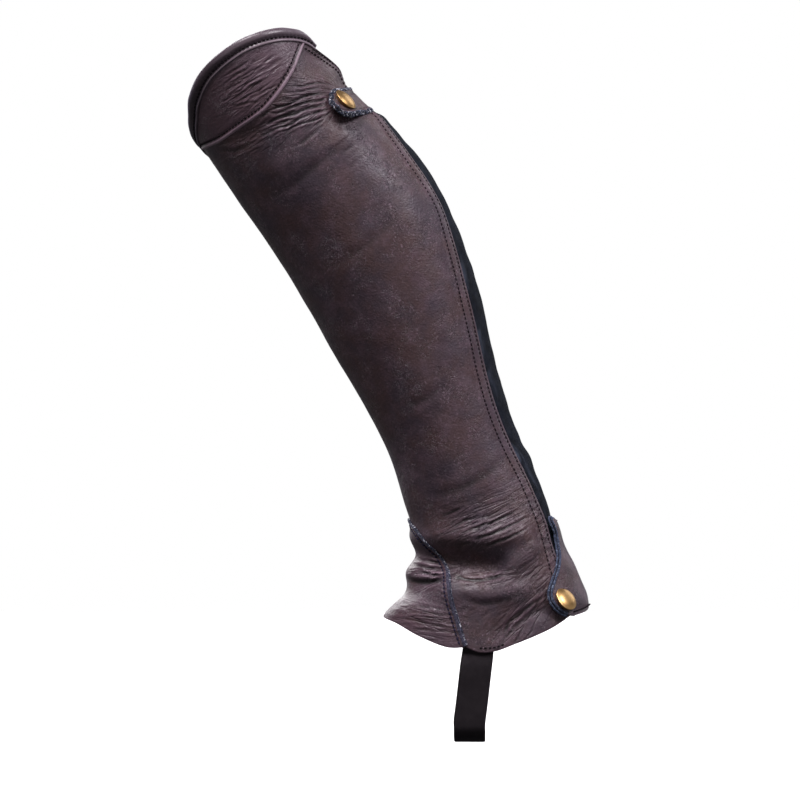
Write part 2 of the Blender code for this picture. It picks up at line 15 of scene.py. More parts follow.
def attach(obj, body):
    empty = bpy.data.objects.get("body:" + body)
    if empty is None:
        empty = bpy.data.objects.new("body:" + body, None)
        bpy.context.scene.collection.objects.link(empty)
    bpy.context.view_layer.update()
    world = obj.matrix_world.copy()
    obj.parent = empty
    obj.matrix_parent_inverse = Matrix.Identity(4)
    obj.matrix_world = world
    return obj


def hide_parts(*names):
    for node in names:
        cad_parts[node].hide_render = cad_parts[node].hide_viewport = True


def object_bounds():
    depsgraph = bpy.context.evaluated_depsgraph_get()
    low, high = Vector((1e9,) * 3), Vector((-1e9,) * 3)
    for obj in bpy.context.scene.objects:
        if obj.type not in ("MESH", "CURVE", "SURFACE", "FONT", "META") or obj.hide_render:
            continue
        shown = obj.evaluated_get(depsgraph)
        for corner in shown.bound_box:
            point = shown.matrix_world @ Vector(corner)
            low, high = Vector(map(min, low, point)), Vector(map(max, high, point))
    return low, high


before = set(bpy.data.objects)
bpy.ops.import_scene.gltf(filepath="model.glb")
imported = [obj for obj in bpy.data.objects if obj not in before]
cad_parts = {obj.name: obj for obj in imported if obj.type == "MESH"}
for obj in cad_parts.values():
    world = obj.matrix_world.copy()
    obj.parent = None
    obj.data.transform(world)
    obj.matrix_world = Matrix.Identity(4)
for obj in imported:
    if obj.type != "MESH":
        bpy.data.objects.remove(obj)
cad_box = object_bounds()

MM = 0.001
BODY = "half_chap"

# Thicknesses and clearances, in millimetres
LEATHER = 1.7
ROLLED_LEATHER = 1.3
ELASTIC = 1.2
TAPE = 0.8
STRAP = 1.6
GAP = 0.3
LAP_GAP = 0.6
OVER = LEATHER + LAP_GAP  # the lift of a piece laid over the leather
UNDER = -OVER  # the lift of a piece that lies behind it

# The worn leg in the side elevation, in millimetres
SECTIONS = np.array((
    # shin_x, shin_z, back_x, back_z, half_width
    (-139.5, 102.5, -52.5, 166.0, 56.0),
    (-124.0, 79.5, -35.5, 145.5, 56.0),
    (-107.0, 54.5, -19.0, 118.0, 56.0),
    (-85.0, 22.0, 10.0, 85.0, 56.0),
    (-62.0, -11.0, 42.0, 46.0, 55.5),
    (-42.0, -43.5, 62.5, 7.0, 54.0),
    (-18.5, -84.5, 79.0, -43.0, 50.0),
    (5.0, -125.0, 90.5, -92.0, 45.5),
    (20.5, -158.0, 102.0, -130.5, 42.5),
    (31.0, -190.5, 117.5, -166.5, 41.0),
    (33.0, -210.0, 132.5, -198.5, 41.5),
    (29.0, -240.5, 142.0, -227.0, 42.0),
    (13.0, -258.5, 150.5, -250.5, 42.5),
    (4.0, -275.0, 154.0, -291.5, 43.0),
))
BACK_FULLNESS = 0.14

# Edges and seams: level and angle of each place
OUTER_EDGE = (
    (1.75, 64.5), (2.10, 76.0), (2.40, 81.0), (2.65, 80.5), (2.90, 78.0), (3.17, 74.0), (3.57, 69.5),
    (3.89, 67.5), (4.30, 68.0), (4.70, 68.0), (5.24, 63.0), (5.82, 59.0), (6.56, 56.5), (7.41, 55.0),
    (8.17, 57.5), (8.89, 60.5), (9.82, 59.0), (11.00, 58.0),
)
BACK_TOP = (2.05, 92.0)
ZIP_LINE = (
    (2.20, 120.0), (3.10, 119.5), (4.50, 118.0), (6.00, 115.0),
    (8.00, 112.0), (10.00, 112.0), (12.10, 112.0),
)
INNER_TOP = ((2.20, -233.0), (2.35, -200.0), (2.35, -165.0), (2.25, -135.0), (2.05, -108.0))
ZIP_OPENING = 12.0
TAPE_TUCK = 7.0
ELASTIC_TUCK = 8.0
ELASTIC_FULLNESS = 2.3
GUSSET_LIFT = 0.8
SHIN_SHARE = 0.49  # how much of the top edge is on the inner side of the shin
OUTER_CROWDING = 0.94  # below 1, the outer side's columns stand closer toward the back
COLLAR_TUCK = 3.4  # how far the leather reaches up inside the collar's roll
PIPING_LAP = 0.7  # how far the crescent's piped fold laps over the panel

# Seams and hems in the side elevation: x and z of each point
COLLAR_SEAM = (
    (-112.0, 60.5), (-114.0, 75.5), (-112.5, 89.0), (-104.0, 106.0),
    (-87.0, 120.5), (-71.5, 128.0), (-56.0, 131.6), (-41.5, 130.6),
)
COLLAR_BACK_END = (-33.4, 126.2)
CRESCENT_SEAM = (
    (-111.0, 59.0), (-105.5, 60.5), (-97.0, 64.0), (-87.0, 70.5), (-77.0, 77.0), (-68.0, 83.5),
    (-60.0, 92.5), (-53.5, 101.5), (-48.5, 110.0), (-45.0, 119.0), (-41.7, 129.0),
)
GUSSET_SEAM = (
    (30.5, -193.0), (36.0, -200.0), (42.0, -210.5), (49.0, -221.0), (54.5, -229.5),
    (57.0, -239.5), (59.0, -252.5), (63.0, -266.0), (67.5, -278.5),
)
GUSSET_HEM = ((10.0, -258.5), (20.5, -262.5), (36.0, -271.0), (51.5, -277.5), (59.0, -279.0))
SIDE_HEM = (
    (77.0, -282.0), (87.0, -281.5), (100.0, -277.0), (114.0, -271.5), (127.0, -265.5),
    (143.0, -254.5),
)

# The largest folds in the side elevation
FOLDS = (
    # x1, z1, x2, z2, lift, half_breadth
    (46.0, -220.0, 88.0, -224.5, -7.4, 9.0),
    (56.0, -242.0, 104.0, -241.0, 2.8, 8.0),
    (52.0, -204.0, 104.0, -203.0, 3.0, 8.0),
    (90.0, -231.0, 114.0, -212.0, 2.2, 6.0),
    (92.0, -268.0, 116.0, -254.0, -1.6, 7.0),
    (34.0, -238.0, 48.0, -230.0, -1.8, 7.0),
    (22.0, -252.0, 46.0, -256.0, 1.6, 7.0),
    (-82.0, 66.0, -38.0, 88.0, -1.4, 7.0),
    (-60.0, 45.0, -14.0, 66.0, 1.2, 9.0),
)
INNER_FOLD_SHARE = 0.7
END_FOLDS = (  # -1 across the shin or 1 across the back, then z, lift and half breadth
    (-1, -176.0, 1.7, 22.0), (-1, -204.0, 1.8, 6.0), (-1, -216.5, -2.6, 6.0), (-1, -229.5, 3.2, 7.0),
    (1, -208.0, -3.2, 12.0), (1, -255.0, -2.6, 4.5),
)

# The collar in section: height above its seam and distance off the leather
COLLAR_PROFILE = (
    (-1.7, 0.3), (-1.5, 1.0), (-0.6, 1.35), (0.5, 0.9), (1.5, 0.6), (2.8, 1.5), (4.4, 2.15),
    (6.9, 1.7), (8.3, 0.2), (8.4, -1.6), (7.2, -3.4), (4.6, -4.1), (1.0, -4.2), (-3.0, -4.0),
)
COLLAR_STITCHES = 1.5  # height of the collar's stitching above its seam

# Tabs across the zip
UPPER_TAB_MIDDLE = (
    (2.60, 34.0), (2.66, 50.0), (2.70, 70.0), (2.70, 90.0), (2.70, 108.0), (2.68, 140.0),
)
TAB_STAND = 3.4  # how far the lower edge of its free end stands off the leather
TIP_STAND = 3.6
TAB_LEVEL = 2.60
TAB_REACH = 0.37
TAB_DENT = 6.0
UPPER_TAB_SINK = 2.3
SINK_ANGLES = (74.0, 90.0, 106.0, 122.0)
UPPER_TAB_HALF_WIDTH = 10.0
LOWER_TAB_TOP = (9.82, 92.0)
LOWER_TAB_EDGE = (
    (127.5, -191.0), (132.0, -201.5), (133.5, -213.0), (131.5, -224.5),
    (127.0, -236.0), (125.0, -243.0), (127.0, -250.0), (132.5, -255.5),
)
LOWER_TAB_FOOT = (139.5, -257.5)
LOWER_TAB_HEEL = (12.05, 95.0)
SEWN_END_ANGLE = 132.0
FLAP_SINK = 2.6  # how far the lower tab sinks in between the leather edges at its top
FLAP_STAND = 5.0  # how far its free foot stands off

# Snaps in the side elevation
SNAPS = (
    # name, replaced node, x, z, lift, and the way it faces
    ("upper_snap_cap", "upper_snap", -12.2, 91.8, 5.6, (0.65, -0.34, 0.68)),
    ("lower_snap_cap", "lower_snap", 136.2, -246.0, 4.6, (0.62, -0.60, 0.50)),
)
CAP_PROFILE = (  # radius and height, from the crown to the foot
    (0.0, 3.0), (1.8, 2.96), (3.6, 2.78), (5.2, 2.42), (6.5, 1.95), (7.4, 1.45),
    (7.9, 1.12), (8.15, 1.02), (8.45, 0.86), (8.5, 0.55), (8.3, 0.2), (8.1, 0.0), (7.4, -1.6),
)

# Strap under the foot
STRAP_INSIDE = ((66.0, -262.0), (66.0, -269.0), (66.0, -276.0), (66.0, -282.0))
STRAP_FREE = ((65.0, -292.0), (63.5, -305.0), (62.0, -318.0))
STRAP_WIDTH = 21.0
STRAP_FOOT_X = 60.5
STRAP_FOOT_Z = -343.0
STRAP_HALF_SPREAD = 42.5
STRAP_CORNER = 13.0

# Creases of the outer side: depth, breadth, then x and z of the points they run through
CREASES = (
    (0.8, 0.8, (-20.0, 101.0), (-27.0, 102.6), (-34.3, 102.2), (-42.6, 99.8), (-48.6, 100.6)),
    (0.6, 0.7, (-20.0, 97.5), (-28.0, 99.0), (-36.0, 98.3), (-42.6, 96.7), (-50.5, 95.9)),
    (1.0, 0.8, (-19.0, 94.0), (-29.0, 94.9), (-40.0, 93.4), (-52.1, 87.2), (-63.0, 84.1), (-70.9, 77.9)),
    (0.8, 0.7, (-19.0, 91.5), (-29.0, 90.6), (-40.3, 88.8), (-50.5, 85.0), (-58.3, 81.8)),
    (1.1, 0.9, (-19.0, 89.0), (-29.3, 86.6), (-38.8, 85.0), (-47.4, 81.0), (-56.8, 78.7),
     (-67.7, 73.2), (-78.7, 66.5)),
    (1.0, 0.8, (-20.0, 86.0), (-31.0, 82.6), (-42.6, 78.7), (-50.5, 73.9), (-58.3, 71.6), (-70.9, 65.5)),
    (0.8, 0.7, (-22.0, 82.0), (-34.0, 77.0), (-46.6, 73.2), (-57.6, 66.9)),
    (0.5, 1.2, (-27.0, 74.0), (-33.0, 69.0), (-42.0, 62.0), (-50.0, 58.5)),
    (0.5, 1.6, (-100.0, 58.0), (-88.0, 57.0), (-76.0, 61.0)),
    (0.7, 0.9, (52.4, -190.4), (59.0, -187.0), (66.6, -184.3)),
    (0.7, 0.9, (60.2, -197.9), (68.0, -193.0), (75.9, -190.4)),
    (0.9, 1.0, (69.4, -199.9), (86.0, -194.0), (104.0, -185.6)),
    (0.9, 1.0, (75.9, -205.0), (92.0, -199.5), (110.2, -190.4)),
    (0.8, 0.9, (80.5, -210.0), (95.0, -205.5), (110.2, -197.9)),
    (1.0, 1.0, (54.0, -227.0), (62.0, -231.0), (71.4, -233.0), (85.0, -232.0), (100.0, -225.5)),
    (1.0, 1.1, (94.5, -270.6), (97.7, -261.4), (110.2, -251.3), (125.8, -241.9)),
    (0.9, 1.0, (91.5, -276.7), (104.0, -262.2), (122.7, -246.6)),
    (0.7, 0.9, (100.6, -268.6), (111.8, -257.5), (122.7, -251.3)),
    (0.4, 2.4, (64.0, -244.0), (78.0, -249.0), (95.0, -246.5), (112.0, -238.0)),
    (0.45, 3.0, (44.0, -176.0), (60.0, -173.0), (80.0, -163.0), (96.0, -150.0)),
    (0.35, 3.4, (20.0, -118.0), (38.0, -112.0), (56.0, -101.0)),
    (0.30, 3.6, (-28.0, -24.0), (-6.0, -12.0), (14.0, 4.0), (26.0, 16.0)),
    (0.35, 3.2, (-66.0, 24.0), (-48.0, 34.0), (-26.0, 52.0), (-8.0, 62.0)),
)
INSERT_CREASES = (
    (0.45, 0.6, (-94.5, 95.9), (-86.6, 103.0), (-77.2, 106.9), (-71.7, 112.3), (-63.0, 115.6)),
    (0.45, 0.6, (-92.1, 93.6), (-83.4, 99.8), (-74.0, 104.5), (-64.6, 110.0)),
    (0.55, 0.7, (-90.5, 91.0), (-81.9, 95.9), (-75.6, 100.6), (-69.4, 103.0), (-63.0, 107.6)),
    (0.45, 0.6, (-87.4, 88.8), (-78.7, 93.6), (-70.9, 97.4), (-60.7, 104.5)),
    (0.45, 0.6, (-83.4, 86.5), (-75.6, 92.0), (-66.2, 96.7), (-58.3, 101.2)),
    (0.5, 0.7, (-78.7, 85.0), (-69.4, 92.0), (-61.7, 97.3)),
    (0.5, 0.7, (-96.0, 99.8), (-88.9, 106.0), (-81.9, 110.0), (-75.6, 114.0)),
    (0.5, 0.7, (-98.0, 104.0), (-91.0, 109.0), (-84.0, 113.0), (-77.0, 118.0)),
    (0.4, 0.7, (-88.0, 86.0), (-80.0, 88.5), (-72.0, 89.5)),
)

# Bundles of lesser creases on the outer side. Their middles lie along a line; headings are in
# degrees in the side elevation, where 0 points to the back and 90 up.
BUNDLES = (
    # count, x1, z1, x2, z2, length_1, length_2, heading_1, heading_2, depth, breadth, scatter
    (24, -31.0, 101.0, -31.0, 74.0, 8.0, 18.0, -6.0, 40.0, 0.30, 0.55, 2.0),
    (18, -46.0, 94.0, -56.0, 66.0, 8.0, 18.0, 10.0, 32.0, 0.24, 0.55, 4.0),
    (10, -66.0, 84.0, -74.0, 64.0, 7.0, 15.0, 20.0, 34.0, 0.28, 0.8, 4.0),
    (10, -98.0, 60.0, -60.0, 78.0, 6.0, 13.0, 20.0, 44.0, 0.22, 0.9, 3.0),
    (10, -22.0, 66.0, -4.0, 46.0, 8.0, 18.0, 34.0, 48.0, 0.16, 1.2, 5.0),
    (26, 56.0, -187.0, 104.0, -203.0, 6.0, 17.0, 18.0, 40.0, 0.28, 0.7, 7.0),
    (16, 62.0, -208.0, 100.0, -206.0, 7.0, 16.0, 6.0, 24.0, 0.28, 0.75, 3.5),
    (34, 52.0, -230.5, 98.0, -231.0, 3.0, 8.0, -25.0, 60.0, 0.34, 0.6, 3.2),
    (14, 88.0, -276.0, 120.0, -247.0, 8.0, 20.0, 38.0, 54.0, 0.36, 0.75, 5.0),
    (14, 106.0, -222.0, 122.0, -240.0, 6.0, 15.0, 30.0, 60.0, 0.32, 0.8, 4.5),
    (12, 66.0, -252.0, 88.0, -268.0, 6.0, 15.0, 16.0, 44.0, 0.20, 0.9, 5.0),
    (18, 96.0, -150.0, 116.0, -226.0, 3.0, 7.0, 10.0, 50.0, 0.26, 0.7, 2.0),
)
INSERT_BUNDLES = (
    (20, -97.0, 108.0, -62.0, 92.0, 8.0, 20.0, 28.0, 42.0, 0.26, 0.5, 3.0),
    (14, -94.0, 92.0, -70.0, 86.0, 5.0, 12.0, 26.0, 48.0, 0.22, 0.55, 3.0),
    (8, -66.0, 118.0, -52.0, 106.0, 6.0, 13.0, 34.0, 52.0, 0.26, 0.8, 3.0),
)
GUSSET_CREASES = (
    (2.3, 1.9, (29.6, -233.1), (36.4, -234.9), (43.9, -234.4), (52.0, -233.1)),
    (1.4, 1.1, (32.0, -222.7), (40.5, -225.1), (49.0, -226.4)),
    (1.4, 1.0, (36.8, -227.1), (43.9, -229.7), (52.4, -230.5)),
    (0.7, 0.9, (34.7, -219.5), (42.2, -220.8), (48.0, -223.0)),
    (0.6, 1.1, (29.6, -238.5), (35.5, -237.8), (41.5, -239.8)),
    (0.5, 0.8, (26.3, -253.2), (38.8, -252.3), (56.0, -254.0)),
    (0.5, 0.8, (28.8, -256.5), (40.5, -255.7), (55.5, -256.6)),
    (0.5, 0.8, (40.5, -259.8), (49.0, -260.4), (58.0, -261.9)),
    (0.5, 0.8, (44.7, -264.0), (52.0, -264.6), (60.0, -265.9)),
    (0.5, 0.8, (49.4, -267.0), (62.0, -269.3)),
)
GUSSET_BUNDLES = (
    (16, 43.0, -220.0, 48.0, -238.0, 5.0, 13.0, 0.0, 34.0, 0.50, 0.7, 2.6),
    (18, 26.0, -250.0, 40.0, -268.0, 10.0, 24.0, -16.0, 2.0, 0.26, 0.8, 5.0),
    (24, 53.0, -238.0, 61.0, -274.0, 4.0, 9.0, -20.0, 6.0, 0.40, 0.7, 1.5),
    (8, 36.0, -205.0, 44.0, -218.0, 4.0, 8.0, -30.0, -10.0, 0.20, 0.8, 1.5),
)
WRINKLED = (
    # Where the leather is finely wrinkled: the middle, how far it reaches along and across the
    # wrinkles, their heading, how far off they converge, and how strong they are
    # x, z, along, across, heading, convergence, strength
    (-46.0, 84.0, 30.0, 17.0, 22.0, 40.0, 1.0),
    (-79.0, 101.0, 24.0, 17.0, 35.0, 300.0, 0.75),
    (-76.0, 62.0, 26.0, 10.0, 30.0, 200.0, 0.5),
    (78.0, -195.0, 32.0, 15.0, 28.0, 160.0, 0.8),
    (76.0, -232.0, 26.0, 5.0, 6.0, 90.0, 1.0),
    (104.0, -263.0, 26.0, 13.0, 46.0, 130.0, 0.9),
    (113.0, -232.0, 13.0, 13.0, 44.0, 150.0, 0.6),
    (42.0, -231.0, 15.0, 9.0, 16.0, 26.0, 1.0),
    (36.0, -260.0, 26.0, 13.0, -9.0, 150.0, 0.8),
)
ELASTIC_FOLDS = (  # z of each soft fold across the elastic, its lift and half its breadth
    (112.0, 0.5, 6.0), (74.0, -0.6, 5.0), (52.0, 0.5, 7.0), (18.0, -0.4, 6.0), (-24.0, 0.4, 9.0),
    (-70.0, -0.4, 7.0), (-112.0, 0.5, 9.0), (-134.0, 0.8, 6.0), (-152.0, 2.2, 11.0), (-172.0, 0.8, 7.0),
)

# Sewing
THREAD = 0.5
STITCH = 1.9
PITCH = 3.0
SEAM_ROWS = (3.2, 10.2)  # from the edge of the outer leather
ROW_STARTS = ((-36.0, 125.3), (-41.2, 126.0))  # x and z of where each row starts under the collar
ZIP_ROWS = (2.2, 7.0)  # from the edge of the leather along the zip
FLAP_ROW = 2.8  # from the foot of the lower tab
GUSSET_ROW = 2.4  # from the gusset's edge
GUSSET_STITCH = 2.2

# Teeth
TOOTH_PITCH = 1.35
TOOTH = (2.9, 0.85, 1.7)


# The worn form

def smooth(rows, place):
    """Reads a smooth curve through the rows at places counted in rows from 0."""
    rows = np.asarray(rows, float)
    place = np.asarray(place, float)
    last = len(rows) - 1
    start = np.clip(place.astype(int), 0, last - 1)
    f = (place - start)[..., None]
    p0, p1, p2, p3 = (rows[np.clip(start + k, 0, last)] for k in (-1, 0, 1, 2))
    return 0.5 * (2 * p1 + (p2 - p0) * f + (2 * p0 - 5 * p1 + 4 * p2 - p3) * f**2
                  + (3 * p1 - p0 - 3 * p2 + p3) * f**3)


def unit(vectors):
    return vectors / np.linalg.norm(vectors, axis=-1, keepdims=True)


def tube(places):
    """The smooth worn form, without folds."""
    shin_x, shin_z, back_x, back_z, half = np.moveaxis(smooth(SECTIONS, places[..., 0]), -1, 0)
    turn = np.radians(places[..., 1])
    depth = np.sin(turn)
    x = (shin_x + back_x) / 2 + (back_x - shin_x) / 2 * depth
    z = (shin_z + back_z) / 2 + (back_z - shin_z) / 2 * depth
    y = -half * np.cos(turn) * (1 + BACK_FULLNESS * depth)
    return np.stack((x, y, z), -1)


def slopes(places):
    """How the form runs for one level down and for one degree backward."""
    nudge = 0.02
    level, angle = np.array((nudge, 0.0)), np.array((0.0, nudge))
    down = (tube(places + level) - tube(places - level)) / (2 * nudge)
    back = (tube(places + angle) - tube(places - angle)) / (2 * nudge)
    return down, back


def outward(places):
    return unit(np.cross(*slopes(places)))


def sides(places):
    """How far a place belongs to the outer side and to the inner side, each from 0 to 1."""
    side = np.cos(np.radians(places[..., 1]))
    return np.sqrt(np.clip(side, 0, 1)), np.sqrt(np.clip(-side, 0, 1))


def rise_of_folds(points, places):
    x, z = points[..., 0], points[..., 2]
    outer, inner = sides(places)
    rise = np.zeros(x.shape)
    for x1, z1, x2, z2, lift, half_breadth in FOLDS:
        run_x, run_z = x2 - x1, z2 - z1
        t = np.clip(((x - x1) * run_x + (z - z1) * run_z) / (run_x**2 + run_z**2), 0, 1)
        away_squared = (x - x1 - run_x * t) ** 2 + (z - z1 - run_z * t) ** 2
        rise += lift * np.exp(-away_squared / half_breadth**2)
    rise *= outer + inner * INNER_FOLD_SHARE
    for end, at, lift, half_breadth in END_FOLDS:
        facing = np.clip(end * np.sin(np.radians(places[..., 1])), 0, 1) ** 4
        rise += lift * facing * np.exp(-(((z - at) / half_breadth) ** 2))
    return rise


def pull_of_tab(level):
    return np.exp(-(((level - TAB_LEVEL) / TAB_REACH) ** 4))


def skin(places, lift=0.0):
    """Points of the garment, lift off the leather's outer face."""
    places = np.asarray(places, float)
    points = tube(places)
    backness = np.clip(np.sin(np.radians(places[..., 1])), 0, 1)
    rise = rise_of_folds(points, places) - TAB_DENT * pull_of_tab(places[..., 0]) * backness**4
    return points + outward(places) * (rise + lift)[..., None]


def level_and_angle(x, z):
    """The place on the outer side of the smooth form at a point of the side elevation."""
    low, high = 0.0, len(SECTIONS) - 1.0
    for _ in range(40):
        level = (low + high) / 2
        shin_x, shin_z, back_x, back_z, _half = smooth(SECTIONS, level)
        run_x, run_z = back_x - shin_x, back_z - shin_z
        if (x - shin_x) * run_z > (z - shin_z) * run_x:
            low = level
        else:
            high = level
    share = ((x - shin_x) * run_x + (z - shin_z) * run_z) / (run_x**2 + run_z**2)
    return level, math.degrees(math.asin(min(max(2 * share - 1, -1.0), 1.0)))


def seen(x, z, lift=0.0):
    """The place under a point of the side elevation that shows lift off the leather."""
    off = outward(np.array(level_and_angle(x, z))) * lift
    return level_and_angle(x - off[0], z - off[2])


def seen_all(points, lift=0.0):
    return np.array([seen(x, z, lift) for x, z in points])


def mirrored(places):
    """The places on the inner side that lie behind these on the outer side."""
    places = np.asarray(places)
    return np.stack((places[..., 0], -180.0 - places[..., 1]), -1)


def beside(line, distances):
    """The line moved sideways: up where it runs backward, backward where it runs down."""
    points = tube(line)
    ahead = np.concatenate((points[1:], points[-1:])) - np.concatenate((points[:1], points[:-1]))
    move = unit(np.cross(outward(line), ahead)) * np.broadcast_to(distances, len(line))[:, None]
    down, back = slopes(line)
    dd, db, bb = ((a * b).sum(-1) for a, b in ((down, down), (down, back), (back, back)))
    md, mb = (move * down).sum(-1), (move * back).sum(-1)
    scale = dd * bb - db * db
    return line + np.stack(((md * bb - mb * db) / scale, (mb * dd - md * db) / scale), -1)


def runs_of(points):
    """How far along a line of points each one lies."""
    steps = np.linalg.norm(np.diff(points, axis=0), axis=-1)
    return np.concatenate(((0.0,), np.cumsum(steps)))


def trace(knots, shares):
    """Places at these shares of the length of a smooth line through the knots."""
    fine = 12
    steps = (len(knots) - 1) * fine
    places = smooth(knots, np.arange(steps + 1) / fine)
    runs = runs_of(tube(places))
    goals = np.asarray(shares) * runs[-1]
    return np.stack([np.interp(goals, runs, places[:, k]) for k in (0, 1)], -1)


def length_of(line):
    return runs_of(tube(np.asarray(line)))[-1]


def even(count):
    return np.linspace(0.0, 1.0, count)


def stepped(length, zones):
    """Shares from 0 to 1 of a length, evenly stepped in each zone, given by its end and its step."""
    shares, low = [np.zeros(1)], 0.0
    for high, step in zones:
        count = max(round((high - low) / step), 1)
        shares.append(np.linspace(low, high, count + 1)[1:])
        low = high
    return np.concatenate(shares) / length


def mix(a, b, share):
    return a + (b - a) * share


def patch(top, bottom, start, end, across, down):
    """Fills four edges with rows of places; top and bottom run backward, start and end down."""
    u, v = across[None, :, None], down[:, None, None]
    along = mix(top[None], bottom[None], v)
    downward = mix(start[:, None], end[:, None], u)
    corners = mix(mix(top[0], bottom[0], v), mix(top[-1], bottom[-1], v), u)
    return along + downward - corners


def to_edges(points):
    """How far each point of a grid lies from its first and last column and first and last row."""
    across = np.linalg.norm(np.diff(points, axis=1), axis=-1)
    down = np.linalg.norm(np.diff(points, axis=0), axis=-1)
    left = np.concatenate((np.zeros((len(points), 1)), np.cumsum(across, 1)), 1)
    above = np.concatenate((np.zeros((1, points.shape[1])), np.cumsum(down, 0)), 0)
    return left, left[:, -1:] - left, above, above[-1:] - above


# Relief of the leather

def bundle_creases(bundles, seed):
    """The lesser creases, uneven in length, depth, heading and spacing."""
    dice = np.random.default_rng(seed)
    made = []
    for count, x1, z1, x2, z2, short, long, first, last, depth, breadth, scatter in bundles:
        for k in range(count):
            t = (k + dice.uniform(-0.45, 0.45)) / max(count - 1, 1)
            x = mix(x1, x2, t) + dice.normal(0, scatter / 2)
            z = mix(z1, z2, t) + dice.normal(0, scatter / 2)
            heading = math.radians(mix(first, last, t) + dice.normal(0, 7))
            half = dice.uniform(short, long) / 2
            bend = dice.normal(0, 0.10) * half
            dx, dz = math.cos(heading), math.sin(heading)
            made.append((
                depth * dice.uniform(0.45, 1.25), breadth * dice.uniform(0.75, 1.3),
                (x - dx * half, z - dz * half), (x - dz * bend, z + dx * bend),
                (x + dx * half, z + dz * half),
            ))
    return made


def shifted(creases, seed):
    """The same kind of creases for the hidden side, a little elsewhere and softer."""
    dice = np.random.default_rng(seed)
    made = []
    for depth, breadth, *knots in creases:
        off = dice.normal(0, 3.0, 2)
        turn = dice.normal(0, 0.06)
        knots = np.array(knots)
        about = knots - knots.mean(0)
        turned = about @ np.array(((1, turn), (-turn, 1))) + knots.mean(0) + off
        made.append((depth * 0.8, breadth * 1.15, *map(tuple, turned)))
    return made


def crease_lift(x, z, creases):
    """How far creases lift the leather: a trough with a ridge on either side of it."""
    flat_x, flat_z = x.ravel(), z.ravel()
    lift = np.zeros(flat_x.shape)
    for depth, breadth, *knots in creases:
        line = smooth(knots, np.linspace(0, len(knots) - 1, 8 * (len(knots) - 1) + 1))
        reach = 4.0 * breadth
        low, high = line.min(0) - reach, line.max(0) + reach
        inside_x = (flat_x > low[0]) & (flat_x < high[0])
        inside_z = (flat_z > low[1]) & (flat_z < high[1])
        near = np.flatnonzero(inside_x & inside_z)
        if not len(near):
            continue
        spots = np.stack((flat_x[near], flat_z[near]), -1)[:, None]
        start, run = line[None, :-1], np.diff(line, axis=0)[None]
        t = np.clip(((spots - start) * run).sum(-1) / (run**2).sum(-1), 0, 1)
        away = spots - start - run * t[..., None]
        nearest = (away**2).sum(-1).argmin(1)
        pick = np.arange(len(near)), nearest
        away, t, run = away[pick], t[pick], run[0][nearest]
        side = np.sign(run[:, 0] * away[:, 1] - run[:, 1] * away[:, 0])
        s = side * np.hypot(away[:, 0], away[:, 1]) / breadth
        along = (nearest + t) / (len(line) - 1)
        taper = np.sin(np.pi * np.clip(along, 0.02, 0.98)) ** 0.7
        shape = 0.55 * furrow(s, 1.8, 1.1) + 0.3 * furrow(s, -1.8, 1.2) - furrow(s, 0.0, 1.0)
        lift[near] += depth * taper * shape
    return lift.reshape(x.shape)


def waves(points, size, seed):
    """Soft uneven hills of about this size, from -1 to 1."""
    flat = points.reshape(-1, 3) / size + seed
    values = np.array([noise.noise(Vector(p)) for p in flat.tolist()])
    return values.reshape(points.shape[:-1]) * 1.6


def fine_wrinkles(x, z, side):
    """How finely wrinkled the leather is at points of the side elevation, and where each point
    lies along and across its wrinkles."""
    strength, along, across = (np.zeros(x.shape) for _ in range(3))
    for number, (mid_x, mid_z, reach, breadth, heading, convergence, amount) in enumerate(WRINKLED):
        turn = math.radians(heading)
        dx, dz = math.cos(turn), math.sin(turn)
        u = (x - mid_x) * dx + (z - mid_z) * dz
        v = (z - mid_z) * dx - (x - mid_x) * dz
        here = amount * np.exp(-((u / reach) ** 2) - (v / breadth) ** 2)
        from_pivot = convergence - u
        fanned = np.arctan2(v, np.maximum(from_pivot, 4.0)) * convergence
        stronger = here > strength
        strength = np.where(stronger, here, strength)
        along = np.where(stronger, u + 53.0 * number, along)
        across = np.where(stronger, fanned + 31.0 * number, across)
    return strength * side, along, across


def ridged(along, across, length, breadth, seed):
    """Long narrow ridges and furrows, from -1 to 1."""
    spots = np.stack((along / length, across / breadth, np.broadcast_to(seed, along.shape)), -1)
    values = np.array([noise.noise(Vector(p)) for p in spots.reshape(-1, 3).tolist()])
    return 1 - 2.6 * np.abs(values.reshape(along.shape))


def leather_relief(places, points, outer_creases, inner_creases, seed=0.0):
    """The lift of the creases and of the leather's own unevenness, and the values the materials read,
    whose crease heights paint shade in the hollows and light on the ridges.
    """
    outer, inner = sides(places)
    x, z = points[..., 0], points[..., 2]
    creased = crease_lift(x, z, outer_creases) * outer + crease_lift(x, z, inner_creases) * inner
    strength, along, across = fine_wrinkles(x, z, outer + 0.7 * inner)
    side = np.where(outer > inner, 0.0, 40.0)
    fine = 0.40 * ridged(along, across, 12.0, 2.4, 2.2 + side) * strength
    uneven = 0.30 * waves(points, 34.0, 3.1 + seed) + 0.10 * waves(points, 11.0, 7.7 + seed)
    # The crease heights go to the colour: painted shade in the hollows, and ridges paler as both wear and
    # painted highlight.
    shown = {"wear": creased + fine, "wrinkled": strength, "along": along, "across": across + side}
    return creased + fine + uneven, shown


def step_up(distance, reach):
    """1 at the edge, falling smoothly to 0 at this reach."""
    t = np.clip(distance / reach, 0, 1)
    return 1 - t * t * (3 - 2 * t)


def furrow(distance, at, breadth):
    return np.exp(-(((distance - at) / breadth) ** 2))


# Meshes

